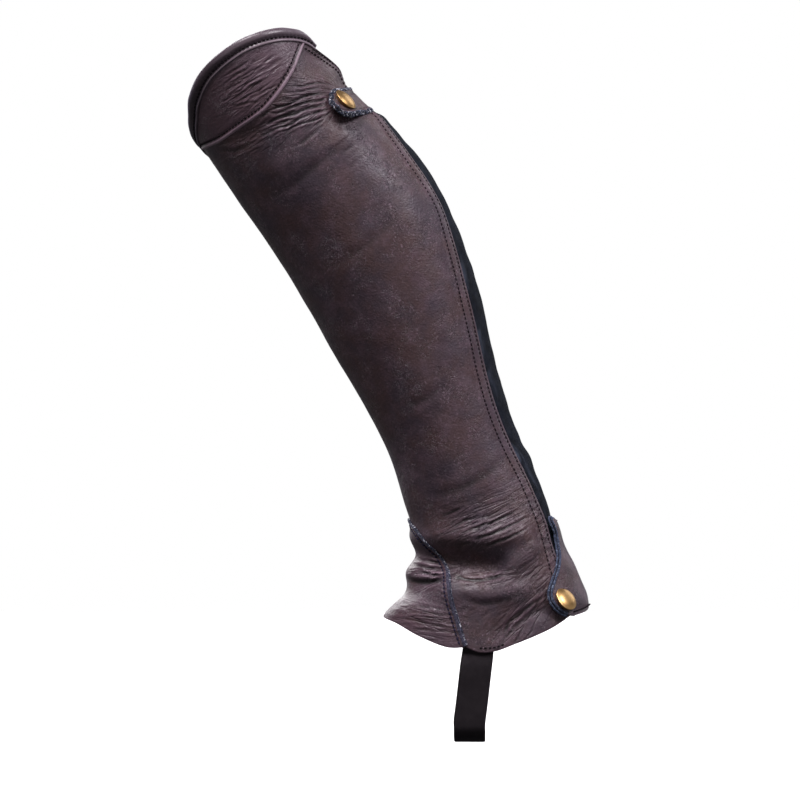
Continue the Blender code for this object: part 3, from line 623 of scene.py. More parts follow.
def new_piece(name, verts, faces, look, inside=None, inner_faces=()):
    """One object in metres, from points in millimetres."""
    mesh = bpy.data.meshes.new(name)
    mesh.from_pydata((np.asarray(verts) * MM).tolist(), [], list(faces))
    mesh.materials.append(look)
    if inside is not None:
        mesh.materials.append(inside)
        marks = np.zeros(len(mesh.polygons), dtype=np.int32)
        marks[inner_faces[0]:inner_faces[1]] = 1
        mesh.polygons.foreach_set("material_index", marks)
    mesh.shade_smooth()
    mesh.set_sharp_from_angle(angle=math.radians(62))
    made = bpy.data.objects.new(name, mesh)
    bpy.context.scene.collection.objects.link(made)
    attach(made, BODY)
    return made


def give_values(made, **values):
    """Named numbers at the points, which the materials read."""
    for name, numbers in values.items():
        layer = made.data.attributes.new(name, "FLOAT", "POINT")
        layer.data.foreach_set("value", np.asarray(numbers, dtype=np.float32).ravel())


def grid_faces(index, turned=False):
    a, b, c, d = index[:-1, :-1], index[1:, :-1], index[1:, 1:], index[:-1, 1:]
    order = (a, d, c, b) if turned else (a, b, c, d)
    return np.stack(order, -1).reshape(-1, 4).tolist()


def some_of(count, stride):
    picks = list(range(0, count, stride))
    return picks if picks[-1] == count - 1 else picks + [count - 1]


def shell(name, rows, thickness, look, slot, inside=None, stride=2, **values):
    """A wall with this outer face. Its inner face has one in so many of its rows and columns."""
    rows = np.array(rows)
    count_r, count_c = rows.shape[:2]
    down, back = np.gradient(rows, axis=0), np.gradient(rows, axis=1)
    normals = unit(np.cross(down, back))
    r_picks, c_picks = some_of(count_r, stride), some_of(count_c, stride)
    inner_rows = (rows - normals * thickness)[np.ix_(r_picks, c_picks)]
    outer_index = np.arange(count_r * count_c).reshape(count_r, count_c)
    inner_index = outer_index.size + np.arange(len(r_picks) * len(c_picks)).reshape(len(r_picks), -1)
    faces = grid_faces(outer_index)
    first_inner = len(faces)
    faces += grid_faces(inner_index, turned=True)
    last_inner = len(faces)

    def rim(outer_line, inner_line, picks):
        for k in range(len(picks) - 1):
            along = outer_line[picks[k]:picks[k + 1] + 1]
            faces.append([*along.tolist(), int(inner_line[k + 1]), int(inner_line[k])])

    def reversed_picks(picks, count):
        return [count - 1 - p for p in picks[::-1]]

    rim(outer_index[0], inner_index[0], c_picks)
    rim(outer_index[:, -1], inner_index[:, -1], r_picks)
    rim(outer_index[-1, ::-1], inner_index[-1, ::-1], reversed_picks(c_picks, count_c))
    rim(outer_index[::-1, 0], inner_index[::-1, 0], reversed_picks(r_picks, count_r))
    verts = np.concatenate((rows.reshape(-1, 3), inner_rows.reshape(-1, 3)))
    made = new_piece(name, verts, faces, look, inside, (first_inner, last_inner))
    picked = {
        key: np.concatenate((grid.ravel(), grid[np.ix_(r_picks, c_picks)].ravel()))
        for key, grid in values.items()
    }
    give_values(made, **picked)
    return made


def leather_piece(name, node, points, looks, stride=2, **values):
    """A leather wall in the place of a solid, with its brushed inner face."""
    made = shell(name, points, LEATHER, looks["leather"], "leather", looks["flesh"], stride, **values)
    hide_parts(node)


def tapes(lines, ups, profile):
    """Vertices and faces of strips along lines of points, with a section (sideways, off) at each."""
    verts, faces = [], []
    for line, up in zip(lines, ups):
        ahead = unit(np.gradient(line, axis=0))
        side = unit(np.cross(ahead, up))
        off = np.cross(side, ahead)
        ring = line[:, None] + side[:, None] * profile[..., :1] + off[:, None] * profile[..., 1:]
        base = sum(len(v) for v in verts)
        index = base + np.arange(ring.shape[0] * ring.shape[1]).reshape(ring.shape[:2])
        index = np.concatenate((index, index[:, :1]), 1)
        verts.append(ring.reshape(-1, 3))
        faces += grid_faces(index)
        faces.append(index[0, :-1].tolist())
        faces.append(index[-1, :-1][::-1].tolist())
    return np.concatenate(verts), faces


def stitched(line, ups, stitch, seed):
    """Short lines of points for each stitch of a row."""
    runs = runs_of(line)
    arch = THREAD * np.array((-0.9, 0.55, 0.55, -0.9))
    dice = np.random.default_rng(seed)
    starts = np.arange(0.6, runs[-1] - stitch, PITCH)
    lines, tops = [], []
    for start in starts:
        goals = start + stitch * np.array((0.0, 0.22, 0.78, 1.0)) + dice.normal(0, 0.06)
        spots = np.stack([np.interp(goals, runs, line[:, k]) for k in range(3)], -1)
        top = unit(np.stack([np.interp(goals, runs, ups[:, k]) for k in range(3)], -1))
        lines.append(spots + top * arch[:, None])
        tops.append(top)
    return lines, tops


def sew(name, rows, look, stitch=STITCH):
    """All stitches of one thread as one piece. Each row is a line of points with its ups."""
    turn = np.arange(6) * 2 * math.pi / 6
    ring = np.stack((np.cos(turn), np.sin(turn)), -1) * THREAD
    thread = ring[None] * np.array((0.55, 1.0, 1.0, 0.55))[:, None, None]
    lines, tops = [], []
    for k, (line, ups) in enumerate(rows):
        row_lines, row_tops = stitched(line, ups, stitch, k + 1)
        lines += row_lines
        tops += row_tops
    verts, faces = tapes(lines, tops, thread)
    new_piece(name, verts, faces, look)


# Materials

def linear(red, green, blue):
    """A colour given as it shows on a screen, from 0 to 255."""
    shares = (value / 255 for value in (red, green, blue))
    return (*(s / 12.92 if s <= 0.04045 else ((s + 0.055) / 1.055) ** 2.4 for s in shares), 1.0)


class Look:
    """A material with short ways to add nodes to it."""

    def __init__(self, name, **constants):
        self.material = bpy.data.materials.new(name)
        self.material.use_nodes = True
        self.nodes = self.material.node_tree.nodes
        self.links = self.material.node_tree.links
        self.shader = self.nodes["Principled BSDF"]
        for key, value in constants.items():
            self.shader.inputs[key.replace("_", " ")].default_value = value
        self.place = self.nodes.new("ShaderNodeTexCoord").outputs["Object"]

    def join(self, source, target):
        if hasattr(source, "is_output"):
            self.links.new(source, target)
        else:
            target.default_value = source

    def noise(self, size, detail=3.0, roughness=0.55, place=None, distortion=0.0):
        """Clouds of about this size, in millimetres."""
        node = self.nodes.new("ShaderNodeTexNoise")
        node.inputs["Scale"].default_value = 1 / (size * MM)
        node.inputs["Detail"].default_value = detail
        node.inputs["Roughness"].default_value = roughness
        node.inputs["Distortion"].default_value = distortion
        self.links.new(self.place if place is None else place, node.inputs["Vector"])
        return node.outputs["Fac"]

    def cells(self, size):
        """Pebbles of about this size, in millimetres: 0 in the middle of each."""
        node = self.nodes.new("ShaderNodeTexVoronoi")
        node.feature = "SMOOTH_F1"
        node.inputs["Scale"].default_value = 1 / (size * MM)
        node.inputs["Smoothness"].default_value = 0.35
        self.links.new(self.place, node.inputs["Vector"])
        return node.outputs["Distance"]

    def drawn_out(self, along, across, stretch, seed):
        """Places for clouds that are drawn out along the first of two lengths in millimetres."""
        node = self.nodes.new("ShaderNodeCombineXYZ")
        self.links.new(self.maths("MULTIPLY", along, MM / stretch), node.inputs[0])
        self.links.new(self.maths("MULTIPLY", across, MM), node.inputs[1])
        node.inputs[2].default_value = seed
        return node.outputs[0]

    def valleys(self, source, breadth):
        """Thin lines where the source crosses its middle: 1 in each line and 0 away from it."""
        away = self.maths("ABSOLUTE", self.maths("SUBTRACT", source, 0.5))
        return self.spread(away, breadth, 0.0)

    def value(self, name):
        node = self.nodes.new("ShaderNodeAttribute")
        node.attribute_name = name
        return node.outputs["Fac"]

    def maths(self, operation, a, b=0.0):
        node = self.nodes.new("ShaderNodeMath")
        node.operation = operation
        self.join(a, node.inputs[0])
        self.join(b, node.inputs[1])
        return node.outputs[0]

    def spread(self, source, low, high, new_low=0.0, new_high=1.0):
        node = self.nodes.new("ShaderNodeMapRange")
        node.interpolation_type = "SMOOTHSTEP"
        self.links.new(source, node.inputs["Value"])
        ends = {"From Min": low, "From Max": high, "To Min": new_low, "To Max": new_high}
        for key, number in ends.items():
            node.inputs[key].default_value = number
        return node.outputs["Result"]

    def blend(self, share, a, b):
        node = self.nodes.new("ShaderNodeMix")
        node.data_type = "RGBA"
        self.join(share, node.inputs["Factor"])
        self.join(a, node.inputs["A"])
        self.join(b, node.inputs["B"])
        return node.outputs["Result"]

    def bump(self, *heights):
        """Raises the surface by heights given as (source, millimetres)."""
        normal = None
        for source, height in heights:
            node = self.nodes.new("ShaderNodeBump")
            node.inputs["Distance"].default_value = height * MM
            self.links.new(source, node.inputs["Height"])
            if normal is not None:
                self.links.new(normal, node.inputs["Normal"])
            normal = node.outputs["Normal"]
        self.links.new(normal, self.shader.inputs["Normal"])

    def colour(self, source):
        self.links.new(source, self.shader.inputs["Base Color"])

    def roughness(self, source):
        self.links.new(source, self.shader.inputs["Roughness"])


def leather_look(name, dark, warm, cool, light, pale, grain, gloss, sheen=0.05):
    """Leather: mottled from warm to cool, with painted shade in its creases and wrinkle lines, painted
    light on ridges and lit places, and paler where it is worn.
    """
    look = Look(name, Specular_IOR_Level=0.42, Sheen_Weight=sheen, Sheen_Roughness=0.45,
                Sheen_Tint=linear(190, 178, 215))
    wear, wrinkled = look.value("wear"), look.value("wrinkled")
    place = look.drawn_out(look.value("along"), look.value("across"), 5.5, 0.7)
    furrows = look.maths("MULTIPLY", look.valleys(look.noise(4.6, 2, 0.5, place, 0.4), 0.10), wrinkled)
    hairs = look.valleys(look.noise(6.0, 5, 0.66, distortion=1.6), 0.035)
    patches = look.spread(look.noise(19, 3, 0.6), 0.46, 0.62)
    flecks = look.spread(look.noise(1.5, 2, 0.6), 0.56, 0.70)
    body = look.blend(look.spread(look.noise(34, 4, 0.62), 0.34, 0.66), warm, cool)
    body = look.blend(look.spread(look.noise(12, 4, 0.6), 0.42, 0.78, 0.0, 0.7), body, light)
    body = look.blend(look.spread(look.noise(1.8, 3, 0.6), 0.48, 0.72, 0.0, 0.3), body, dark)
    body = look.blend(look.maths("MULTIPLY", flecks, look.spread(patches, 0, 1, 0.12, 0.42)), body, pale)
    # Painted shade: the fine wrinkles' lines are darkened as if in shadow.
    body = look.blend(look.maths("MULTIPLY", furrows, 0.7), body, dark)
    # Painted shade where the attribute is low (crease hollows, stitch grooves, under the collar), painted
    # light where it is high (ridges, the collar's top, the insert and gusset), and paler worn edges.
    body = look.blend(look.spread(wear, -0.02, -0.6, 0.0, 0.9), body, dark)
    body = look.blend(look.spread(wear, 0.05, 0.6, 0.0, 0.6), body, light)
    body = look.blend(look.spread(wear, 0.55, 1.5, 0.0, 0.75), body, pale)
    look.colour(body)
    rough = look.spread(look.noise(9, 4, 0.6), 0.3, 0.7, gloss - 0.05, gloss + 0.09)
    look.roughness(look.maths("SUBTRACT", rough, look.spread(wear, 0.0, 0.8, 0.0, 0.08)))
    look.bump(
        (furrows, -0.6),
        (look.maths("MULTIPLY", hairs, patches), -grain * 1.2),
        (look.cells(1.5), grain),
        (look.noise(3.2, 5, 0.62), grain * 1.8),
        (look.noise(0.8, 3), grain * 0.5),
    )
    return look.material


def flesh_look():
    """The brushed inner face of the leather."""
    look = Look("leather_inner_face", Specular_IOR_Level=0.2, Sheen_Weight=0.25, Sheen_Roughness=0.6)
    nap = look.noise(1.6, 6, 0.7)
    look.colour(look.blend(look.spread(nap, 0.3, 0.7), linear(50, 38, 36), linear(82, 66, 60)))
    look.roughness(look.spread(nap, 0.2, 0.8, 0.8, 0.95))
    look.bump((nap, 0.35), (look.noise(0.4, 2), 0.15))
    return look.material


def raw_edge_look(name, deep, nap_colour, fleck_colour, flecks):
    """A cut leather edge: a fuzzy nap with pale flecks."""
    look = Look(name, Specular_IOR_Level=0.2, Sheen_Weight=0.3, Sheen_Roughness=0.5,
                Sheen_Tint=linear(170, 180, 220))
    nap = look.noise(1.1, 5, 0.75)
    body = look.blend(look.spread(nap, 0.38, 0.62), deep, nap_colour)
    spots = look.spread(look.noise(1.4, 3, 0.7), 0.55, 0.64, 0.0, flecks)
    look.colour(look.blend(spots, body, fleck_colour))
    look.roughness(look.spread(nap, 0.2, 0.8, 0.75, 0.95))
    look.bump((nap, 0.5), (look.noise(0.3, 2), 0.2))
    return look.material


def elastic_look():
    """Ribbed stretch cloth: ribs run down it, with a faint weave across them and painted sheen in patches
    near the leather's edge.
    """
    look = Look("blue_black_elastic", Specular_IOR_Level=0.08, Sheen_Weight=0.02, Sheen_Roughness=0.35,
                Sheen_Tint=linear(170, 190, 225))
    across, along = look.value("across"), look.value("along")
    ribs = look.maths("SINE", look.maths("MULTIPLY", across, 2 * math.pi / 1.25))
    weft = look.maths("SINE", look.maths("MULTIPLY", along, 2 * math.pi / 0.9))
    weave = look.maths("ADD", look.maths("MULTIPLY", ribs, 0.6), look.maths("MULTIPLY", weft, 0.3))
    mottle = look.noise(9, 4, 0.65)
    body = look.blend(look.spread(mottle, 0.36, 0.70), linear(13, 15, 21), linear(23, 27, 37))
    body = look.blend(look.spread(weave, -0.8, 0.9, 0.35, 0.0), body, linear(6, 7, 10))
    # Painted sheen: paler patches, strongest near the leather's edge, stand in for highlights on the
    # elastic's folds.
    painted_sheen = look.spread(look.noise(7.0, 2, 0.5, look.drawn_out(along, across, 2.6, 1.9)), 0.46, 0.66)
    inward = look.spread(across, 10.0, 20.0, 0.9, 0.0)
    body = look.blend(look.maths("MULTIPLY", painted_sheen, inward), body, linear(56, 61, 73))
    look.colour(body)
    look.roughness(look.spread(look.noise(4, 3), 0.3, 0.7, 0.7, 0.85))
    look.bump((look.spread(weave, -0.9, 0.9), 0.16), (look.noise(0.7, 3), 0.08))
    return look.material


def woven_look(name, dark, light, pitch, sheen):
    """A flat weave of warp and weft, read from across and along."""
    look = Look(name, Specular_IOR_Level=0.15, Sheen_Weight=sheen, Sheen_Roughness=0.4,
                Sheen_Tint=linear(205, 190, 220))
    warp = look.maths("SINE", look.maths("MULTIPLY", look.value("across"), 2 * math.pi / pitch))
    weft = look.maths("SINE", look.maths("MULTIPLY", look.value("along"), 2 * math.pi / (pitch * 0.8)))
    weave = look.maths("MULTIPLY", warp, weft)
    cloudy = look.noise(7, 4, 0.6)
    body = look.blend(look.spread(weave, -0.6, 0.6), dark, light)
    look.colour(look.blend(look.spread(cloudy, 0.3, 0.75, 0.0, 0.45), body, dark))
    look.roughness(look.spread(cloudy, 0.3, 0.7, 0.6, 0.75))
    look.bump((look.spread(weave, -0.8, 0.8), 0.12), (look.noise(0.5, 3), 0.05))
    return look.material


def thread_look(name, dark, light):
    look = Look(name, Specular_IOR_Level=0.12)
    twist = look.noise(0.7, 3, 0.7)
    look.colour(look.blend(look.spread(twist, 0.35, 0.65), dark, light))
    look.roughness(look.spread(twist, 0.3, 0.7, 0.7, 0.85))
    look.bump((twist, 0.12))
    return look.material


def metal_look(name, dark, main, light, polish):
    """Worn metal: tarnish in soft clouds, fine scratches and brighter rubbed places."""
    look = Look(name, Metallic=1.0, Specular_IOR_Level=0.5)
    tarnish = look.spread(look.noise(7.0, 4, 0.6), 0.45, 0.75)
    rubbed = look.spread(look.noise(3.0, 4, 0.6), 0.5, 0.8)
    body = look.blend(look.maths("MULTIPLY", tarnish, 0.35), main, dark)
    look.colour(look.blend(look.maths("MULTIPLY", rubbed, 0.3), body, light))
    scuffs = look.noise(0.8, 5, 0.7)
    look.roughness(look.spread(scuffs, 0.3, 0.75, polish, polish + 0.1))
    look.bump((scuffs, 0.008))
    return look.material


def plastic_look(name, colour, scuffed):
    look = Look(name, Specular_IOR_Level=0.45)
    cloud = look.noise(2.0, 4, 0.6)
    look.colour(look.blend(look.spread(cloud, 0.4, 0.75, 0.0, 0.6), colour, scuffed))
    look.roughness(look.spread(cloud, 0.3, 0.7, 0.34, 0.5))
    look.bump((look.noise(0.4, 3), 0.02))
    return look.material


# The pieces

def seam_lines():
    """Lines that pieces share."""
    return {
        "collar": seen_all(COLLAR_SEAM),
        "crescent": trace(seen_all(CRESCENT_SEAM), even(20)),
        "gusset": trace(seen_all(GUSSET_SEAM), even(15)),
        "hem": seen_all(SIDE_HEM),
    }


def edge_of_outer_leather(lines, shares):
    knots = np.vstack((seen(*COLLAR_BACK_END), OUTER_EDGE, lines["hem"][-1]))
    return trace(knots, shares)


def narrowing(points):
    """How much closer together the stitched rows run near the collar."""
    return 1 + 0.6 * np.clip((points[..., 2] - 104) / 16, 0, 1)


def panel_relief(places, left, right, above, below):
    """The main panel's creases, its folded and stitched edges, and the values the materials read, among
    them painted shade under the collar and on the puckers.
    """
    points = tube(places)
    outer = CREASES + tuple(bundle_creases(BUNDLES, 11))
    inner = shifted(CREASES, 5) + bundle_creases(BUNDLES, 29)
    lift, shown = leather_relief(places, points, outer, inner)
    calm = 1 - 0.8 * step_up(right - 5, 9)
    middle = sum(SEAM_ROWS) / 2
    gathered = np.clip((-150 - points[..., 2]) / 40, 0, 1) * furrow(right, middle, 5.0)
    puckers = 0.5 * waves(points, 3.6, 2.9) * gathered
    lift = lift * calm + 0.35 * step_up(right - 12.2, 1.4) + 0.3 * furrow(right, middle, 3.2) + puckers
    for at in SEAM_ROWS:
        lift = lift - 0.35 * furrow(right, at, 0.8)
    lift = lift + 0.4 * step_up(left - 8.0, 1.2)
    for at in ZIP_ROWS:
        lift = lift - 0.35 * furrow(left, at, 0.7)
    lift = lift - 1.4 * step_up(above, 1.8)
    for distance in (right, left, below):
        lift = lift - 0.5 * step_up(distance, 0.7)
    # Paler along the stitched edge and the hem and between the stitched rows; painted shade along the top
    # edge under the collar's roll, and painted light and shade following the puckers.
    wear = shown["wear"] * calm + 0.6 * furrow(right, 0.9, 0.7) + 0.5 * furrow(below, 0.6, 0.6)
    wear += 0.25 * furrow(right, middle, 3.2) - 1.0 * furrow(above, 0.0, 1.2) + puckers
    shown["wear"] = wear
    shown["wrinkled"] = np.maximum(shown["wrinkled"] * calm, 0.5 * gathered)
    return lift, shown


def build_panel(lines, looks):
    """The main panel round the shin, from the zip to the double-stitched edge, notched for the
    gusset. It is one leather, made in two pieces that meet along the shin."""
    height = length_of(edge_of_outer_leather(lines, even(80)))
    # Fine rows at the edges and where the leather is creased, and coarse ones between
    down = stepped(height, ((2.4, 0.6), (104.0, 0.78), (338.0, 1.9), (height - 5.0, 0.82), (height, 0.6)))
    outer_side = edge_of_outer_leather(lines, down)
    inner_side = beside(trace(ZIP_LINE, down), ZIP_OPENING / 2) - (0.0, 360.0)

    notch = beside(trace(lines["gusset"], even(97)), GAP)
    hem_knots = np.vstack((notch[-1:], lines["hem"]))
    hem_length = length_of(trace(hem_knots, even(40)))
    outer_hem = trace(hem_knots, stepped(hem_length, ((hem_length - 16.0, 1.1), (hem_length, 0.72))))
    inner_knots = np.vstack((inner_side[-1:], mirrored(lines["hem"][-2::-1]), mirrored(notch[-1:])))
    inner_hem = trace(inner_knots, even(51))
    bottom = np.vstack((inner_hem[:-1], mirrored(notch[:0:-2]), notch[:-1], outer_hem))
    shin = len(inner_hem) - 1 + len(notch[:0:-2])

    top_knots = np.vstack((inner_side[:1], INNER_TOP[1:], lines["crescent"], outer_side[:1]))
    top_length = length_of(trace(top_knots, even(200)))
    inner_shares = np.linspace(0, SHIN_SHARE, shin, endpoint=False)
    outer_shares = mix(SHIN_SHARE, 1.0, even(len(bottom) - shin) ** OUTER_CROWDING)
    shares = np.concatenate((inner_shares, outer_shares))
    # The leather reaches up into the collar's roll, but not beside the zip or under the crescent
    under_collar = length_of(trace(top_knots, even(200) * len(INNER_TOP) / len(top_knots)))
    runs = shares * top_length
    tucked = (1 - step_up(runs, 18.0)) * step_up(runs - under_collar + 26.0, 12.0)
    reach = np.linspace(GAP, 1.2, len(shares)) + COLLAR_TUCK * tucked
    top = beside(trace(top_knots, shares), reach)
    inner_side[0], outer_side[0] = top[0], top[-1]
    places = patch(top, bottom, inner_side, outer_side, shares, down)
    left, right, above, below = to_edges(tube(places))
    above = above - COLLAR_TUCK * tucked
    lift, shown = panel_relief(places, left, right * narrowing(tube(places)), above, below)
    points = skin(places, lift)
    for name, node, columns in (
        ("main_panel_outer", "leg_panel_outer", slice(shin, None)),
        ("main_panel_inner", "leg_panel_inner", slice(0, shin + 1)),
    ):
        values = {key: grid[:, columns] for key, grid in shown.items()}
        leather_piece(name, node, points[:, columns], looks, 3, **values)


def build_insert(lines, looks):
    """The wrinkled crescent under the collar, with a piped fold along its lower seam."""
    across, down = even(230), even(84)
    upper = beside(trace(lines["collar"], across), 1.2 + COLLAR_TUCK)
    lower = beside(trace(lines["crescent"], across), -PIPING_LAP)
    places = mix(upper[None], lower[None], down[:, None, None])
    points = tube(places)
    _left, _right, above, below = to_edges(points)
    above = above - COLLAR_TUCK
    creases = INSERT_CREASES + tuple(bundle_creases(INSERT_BUNDLES, 3))
    lift, shown = leather_relief(places, points, creases, creases, seed=2.0)
    calm = 1 - step_up(below - 3.0, 2.5)
    lift = lift * calm + 0.9 * np.sqrt(np.clip(1 - ((below - 1.3) / 1.4) ** 2, 0, 1))
    lift = lift - 0.35 * furrow(below, 4.2, 0.8) - 1.4 * step_up(above, 2.2)
    # Paler along the piped fold as both wear and painted highlight, with painted shade in the groove
    # beside its stitching; the whole insert is painted lighter as if lit from above, with painted shade
    # under the collar's roll.
    shown["wear"] = shown["wear"] * calm + 1.7 * furrow(below, 1.3, 1.0) - 0.6 * furrow(below, 3.4, 0.5)
    shown["wear"] += 0.5 - 1.4 * furrow(above, 0.6, 1.4)
    shown["wrinkled"] *= calm
    leather_piece("crescent_insert", "top_insert", skin(places, lift), looks, **shown)


def rim_line(lines):
    """The collar's seam, from the zip round the shin to the back end."""
    rim = np.vstack((INNER_TOP, lines["collar"], seen(*COLLAR_BACK_END)))
    return trace(rim, even(430))


def build_collar(lines, looks):
    """The rolled edge round the top, puckered along its stitching."""
    line = rim_line(lines)
    profile = smooth(COLLAR_PROFILE[::-1], np.linspace(0, len(COLLAR_PROFILE) - 1, 30))
    runs = runs_of(tube(line))
    to_end = np.minimum(runs, runs[-1] - runs)
    taper = 1 - 0.55 * step_up(to_end, 16.0)
    rows, wears = [], []
    for height, lift in profile:
        outside = lift > 0
        edge = beside(line, height * taper if height > 0 else height)
        lift = lift * (1 - 0.4 * step_up(to_end, 8.0)) if outside else lift
        stitched_in = furrow(height, COLLAR_STITCHES, 1.3) if outside and height < 4 else 0.0
        pucker = (0.5 + 0.5 * np.cos(2 * math.pi * runs / PITCH)) * stitched_in
        uneven = 0.16 * waves(tube(edge), 9.0, 4.2)
        off = lift - 0.28 * pucker + uneven
        rows.append(skin(edge, off))
        ridge = 1.2 * furrow(height, -0.5, 0.6) if outside and height < 4 else 0.0
        # Painted light: the collar is painted paler toward its top as if lit from above, with painted
        # shade in the pucker hollows and a paler ridge below the stitching.
        lit = np.clip((tube(edge)[:, 2] - 92) / 34, 0, 1)
        wears.append(0.1 + 0.75 * lit - 0.6 * pucker + ridge)
    made = shell("rolled_collar", rows, ROLLED_LEATHER, looks["collar"], "collar_leather", looks["flesh"],
                 wear=np.array(wears))
    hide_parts("top_band")


def build_gusset(lines, looks):
    """The front piece over the instep, drawn into creases by its seam."""
    seam = trace(lines["gusset"], even(97))
    seam[0] += (0.0, 1.5)
    hem = np.vstack((seen_all(GUSSET_HEM), seam[-1]))
    half = trace(hem, even(101))
    bottom = np.vstack((mirrored(half[:0:-2]), half))
    across = np.concatenate((np.linspace(0, 0.5, 50, endpoint=False), np.linspace(0.5, 1, 101)))
    top = mix(mirrored(seam[:1]), seam[:1], across[:, None])
    places = patch(top, bottom, mirrored(seam), seam, across, even(97))
    points = tube(places)
    left, right, _above, below = to_edges(points)
    outer = GUSSET_CREASES + tuple(bundle_creases(GUSSET_BUNDLES, 17))
    inner = shifted(GUSSET_CREASES, 8) + bundle_creases(GUSSET_BUNDLES, 23)
    lift, shown = leather_relief(places, points, outer, inner, seed=5.0)
    seam_side = np.minimum(left, right)
    lift = lift - 0.3 * furrow(seam_side, GUSSET_ROW, 0.8) - 0.35 * step_up(below, 0.8)
    # The whole gusset is painted lighter as if lit from above, paler along its hem, with painted shade in
    # the stitch groove.
    shown["wear"] += 0.3 + 0.3 * furrow(below, 0.8, 1.0) - 0.3 * furrow(seam_side, GUSSET_ROW, 0.6)
    leather_piece("gusset", "instep_gusset", skin(places, GUSSET_LIFT + lift), looks, **shown)


def elastic_places(lines, rows, columns):
    near = beside(edge_of_outer_leather(lines, rows), -ELASTIC_TUCK)
    far = beside(trace(ZIP_LINE, rows), -ZIP_OPENING / 2)
    top = trace(np.vstack((near[0], BACK_TOP, far[0])), columns)
    bottom = trace(np.vstack((near[-1], far[-1])), columns)
    return patch(top, bottom, near, far, columns, rows)


def build_elastic(lines, looks):
    """The stretch panel, tucked under the stitched edge, with soft folds across it."""
    rows, columns = even(310), even(46)
    places = elastic_places(lines, rows, columns)
    points = tube(places)
    left, _right, above, _below = to_edges(points)
    hidden = ELASTIC_TUCK / left[:, -1:]
    free = np.clip(columns - hidden, 0, None) / (1 - hidden)
    room = np.clip((places[..., 0] - TAB_LEVEL) / 0.5, 0, 1) * step_up(-178 - points[..., 2], 14)
    swell = np.sin(math.pi * free) * room
    folds = np.zeros(points.shape[:2])
    for z, lift, half_breadth in ELASTIC_FOLDS:
        leaning = points[..., 2] - z - 0.12 * (points[..., 0] - 100)
        folds += lift * np.exp(-((leaning / half_breadth) ** 2))
    between = np.sin(math.pi * np.clip(free, 0, 1)) ** 0.5
    folds = (folds + 0.35 * waves(points, 11.0, 9.3)) * between * room
    lift = ELASTIC_FULLNESS * swell + folds + UNDER
    made = shell("stretch_panel", skin(places, lift), ELASTIC, looks["elastic"], "elastic",
                 across=left, along=above)
    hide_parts("elastic_panel")


def build_zip(looks):
    """The tapes and the moulded teeth of the closed zip."""
    shares = even(300)
    line = trace(ZIP_LINE, shares)
    reaches = np.linspace(0.03 - ZIP_OPENING / 2, ZIP_OPENING / 2 + TAPE_TUCK, 22)
    places = np.stack([beside(line, reach) for reach in reaches], 1)
    left, _right, above, _below = to_edges(tube(places))
    ridge = 0.25 * furrow(reaches, -3.6, 0.6) + 0.25 * furrow(reaches, 3.6, 0.6)
    tape = shell("zip_tapes", skin(places, ridge + UNDER), TAPE, looks["tape"], "tape",
                 across=left, along=above)
    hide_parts("zip_tape")

    below = ZIP_LINE[1:]
    length = length_of(trace(below, even(200)))
    slider_half = 5.5
    starts = np.arange(slider_half + 1.0, length - 1.0, TOOTH_PITCH)
    spots = trace(below, starts / length)
    aheads = unit(np.gradient(tube(spots), axis=0))
    offs = outward(spots)
    acrosses = unit(np.cross(aheads, offs))
    foot = skin(spots, UNDER)
    width, depth, height = TOOTH
    verts, faces = [], []
    for spot, ahead, off, across in zip(foot, aheads, offs, acrosses):
        for side in (-1, 1):
            centre = spot + across * side * 1.15 + ahead * (TOOTH_PITCH / 2 if side > 0 else 0.0)
            base = len(verts)
            for level, share in ((0.15, 1.0), (0.7, 1.0), (1.0, 0.72)):
                for a, b in ((-0.5, -0.5), (0.5, -0.5), (0.5, 0.5), (-0.5, 0.5)):
                    verts.append(centre + across * a * width * share + ahead * b * depth * share
                                 + off * height * level)
            for ring in (base, base + 4):
                for i, j in ((0, 1), (1, 2), (2, 3), (3, 0)):
                    faces.append([ring + j, ring + i, ring + 4 + i, ring + 4 + j])
            faces.append([base + i for i in (0, 1, 2, 3)])
            faces.append([base + 8 + i for i in (3, 2, 1, 0)])
    teeth = new_piece("zip_teeth", np.array(verts), faces, looks["teeth"])
    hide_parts("zip_chain")


def sink(angles):
    starts, full, still_full, ends = SINK_ANGLES
    share = np.minimum((angles - starts) / (full - starts), (ends - angles) / (ends - still_full))
    share = np.clip(share, 0, 1)
    return UPPER_TAB_SINK * share * share * (3 - 2 * share)


def upper_tab_rows(shares):
    """Lines along the upper tab, from one edge to the other, and how far each point is from its tip."""
    middle = trace(UPPER_TAB_MIDDLE, even(60))
    length, radius = length_of(middle), UPPER_TAB_HALF_WIDTH
    tip = (0.06, 0.3, 0.8, 1.5, 2.4, 3.5, 4.7, 6.0, 7.4, 8.7)
    runs = np.concatenate((tip, np.linspace(radius, length, int((length - radius) / 0.85))))
    line = trace(UPPER_TAB_MIDDLE, runs / length)
    halves = np.sqrt(radius**2 - np.clip(radius - runs, 0, None) ** 2)
    return np.stack([beside(line, halves * (1 - 2 * k)) for k in shares]), runs


def tab_lift(angles, share, runs):
    """How far the upper tab's outer face lies off the leather. The share runs from its upper to its
    lower edge, which stands off at the free end."""
    free = step_up(runs - 10.0, 16.0)
    tip = TIP_STAND * np.clip(1 - runs / 26, 0, 1)
    return OVER - sink(angles) + (TAB_STAND * share + tip) * free


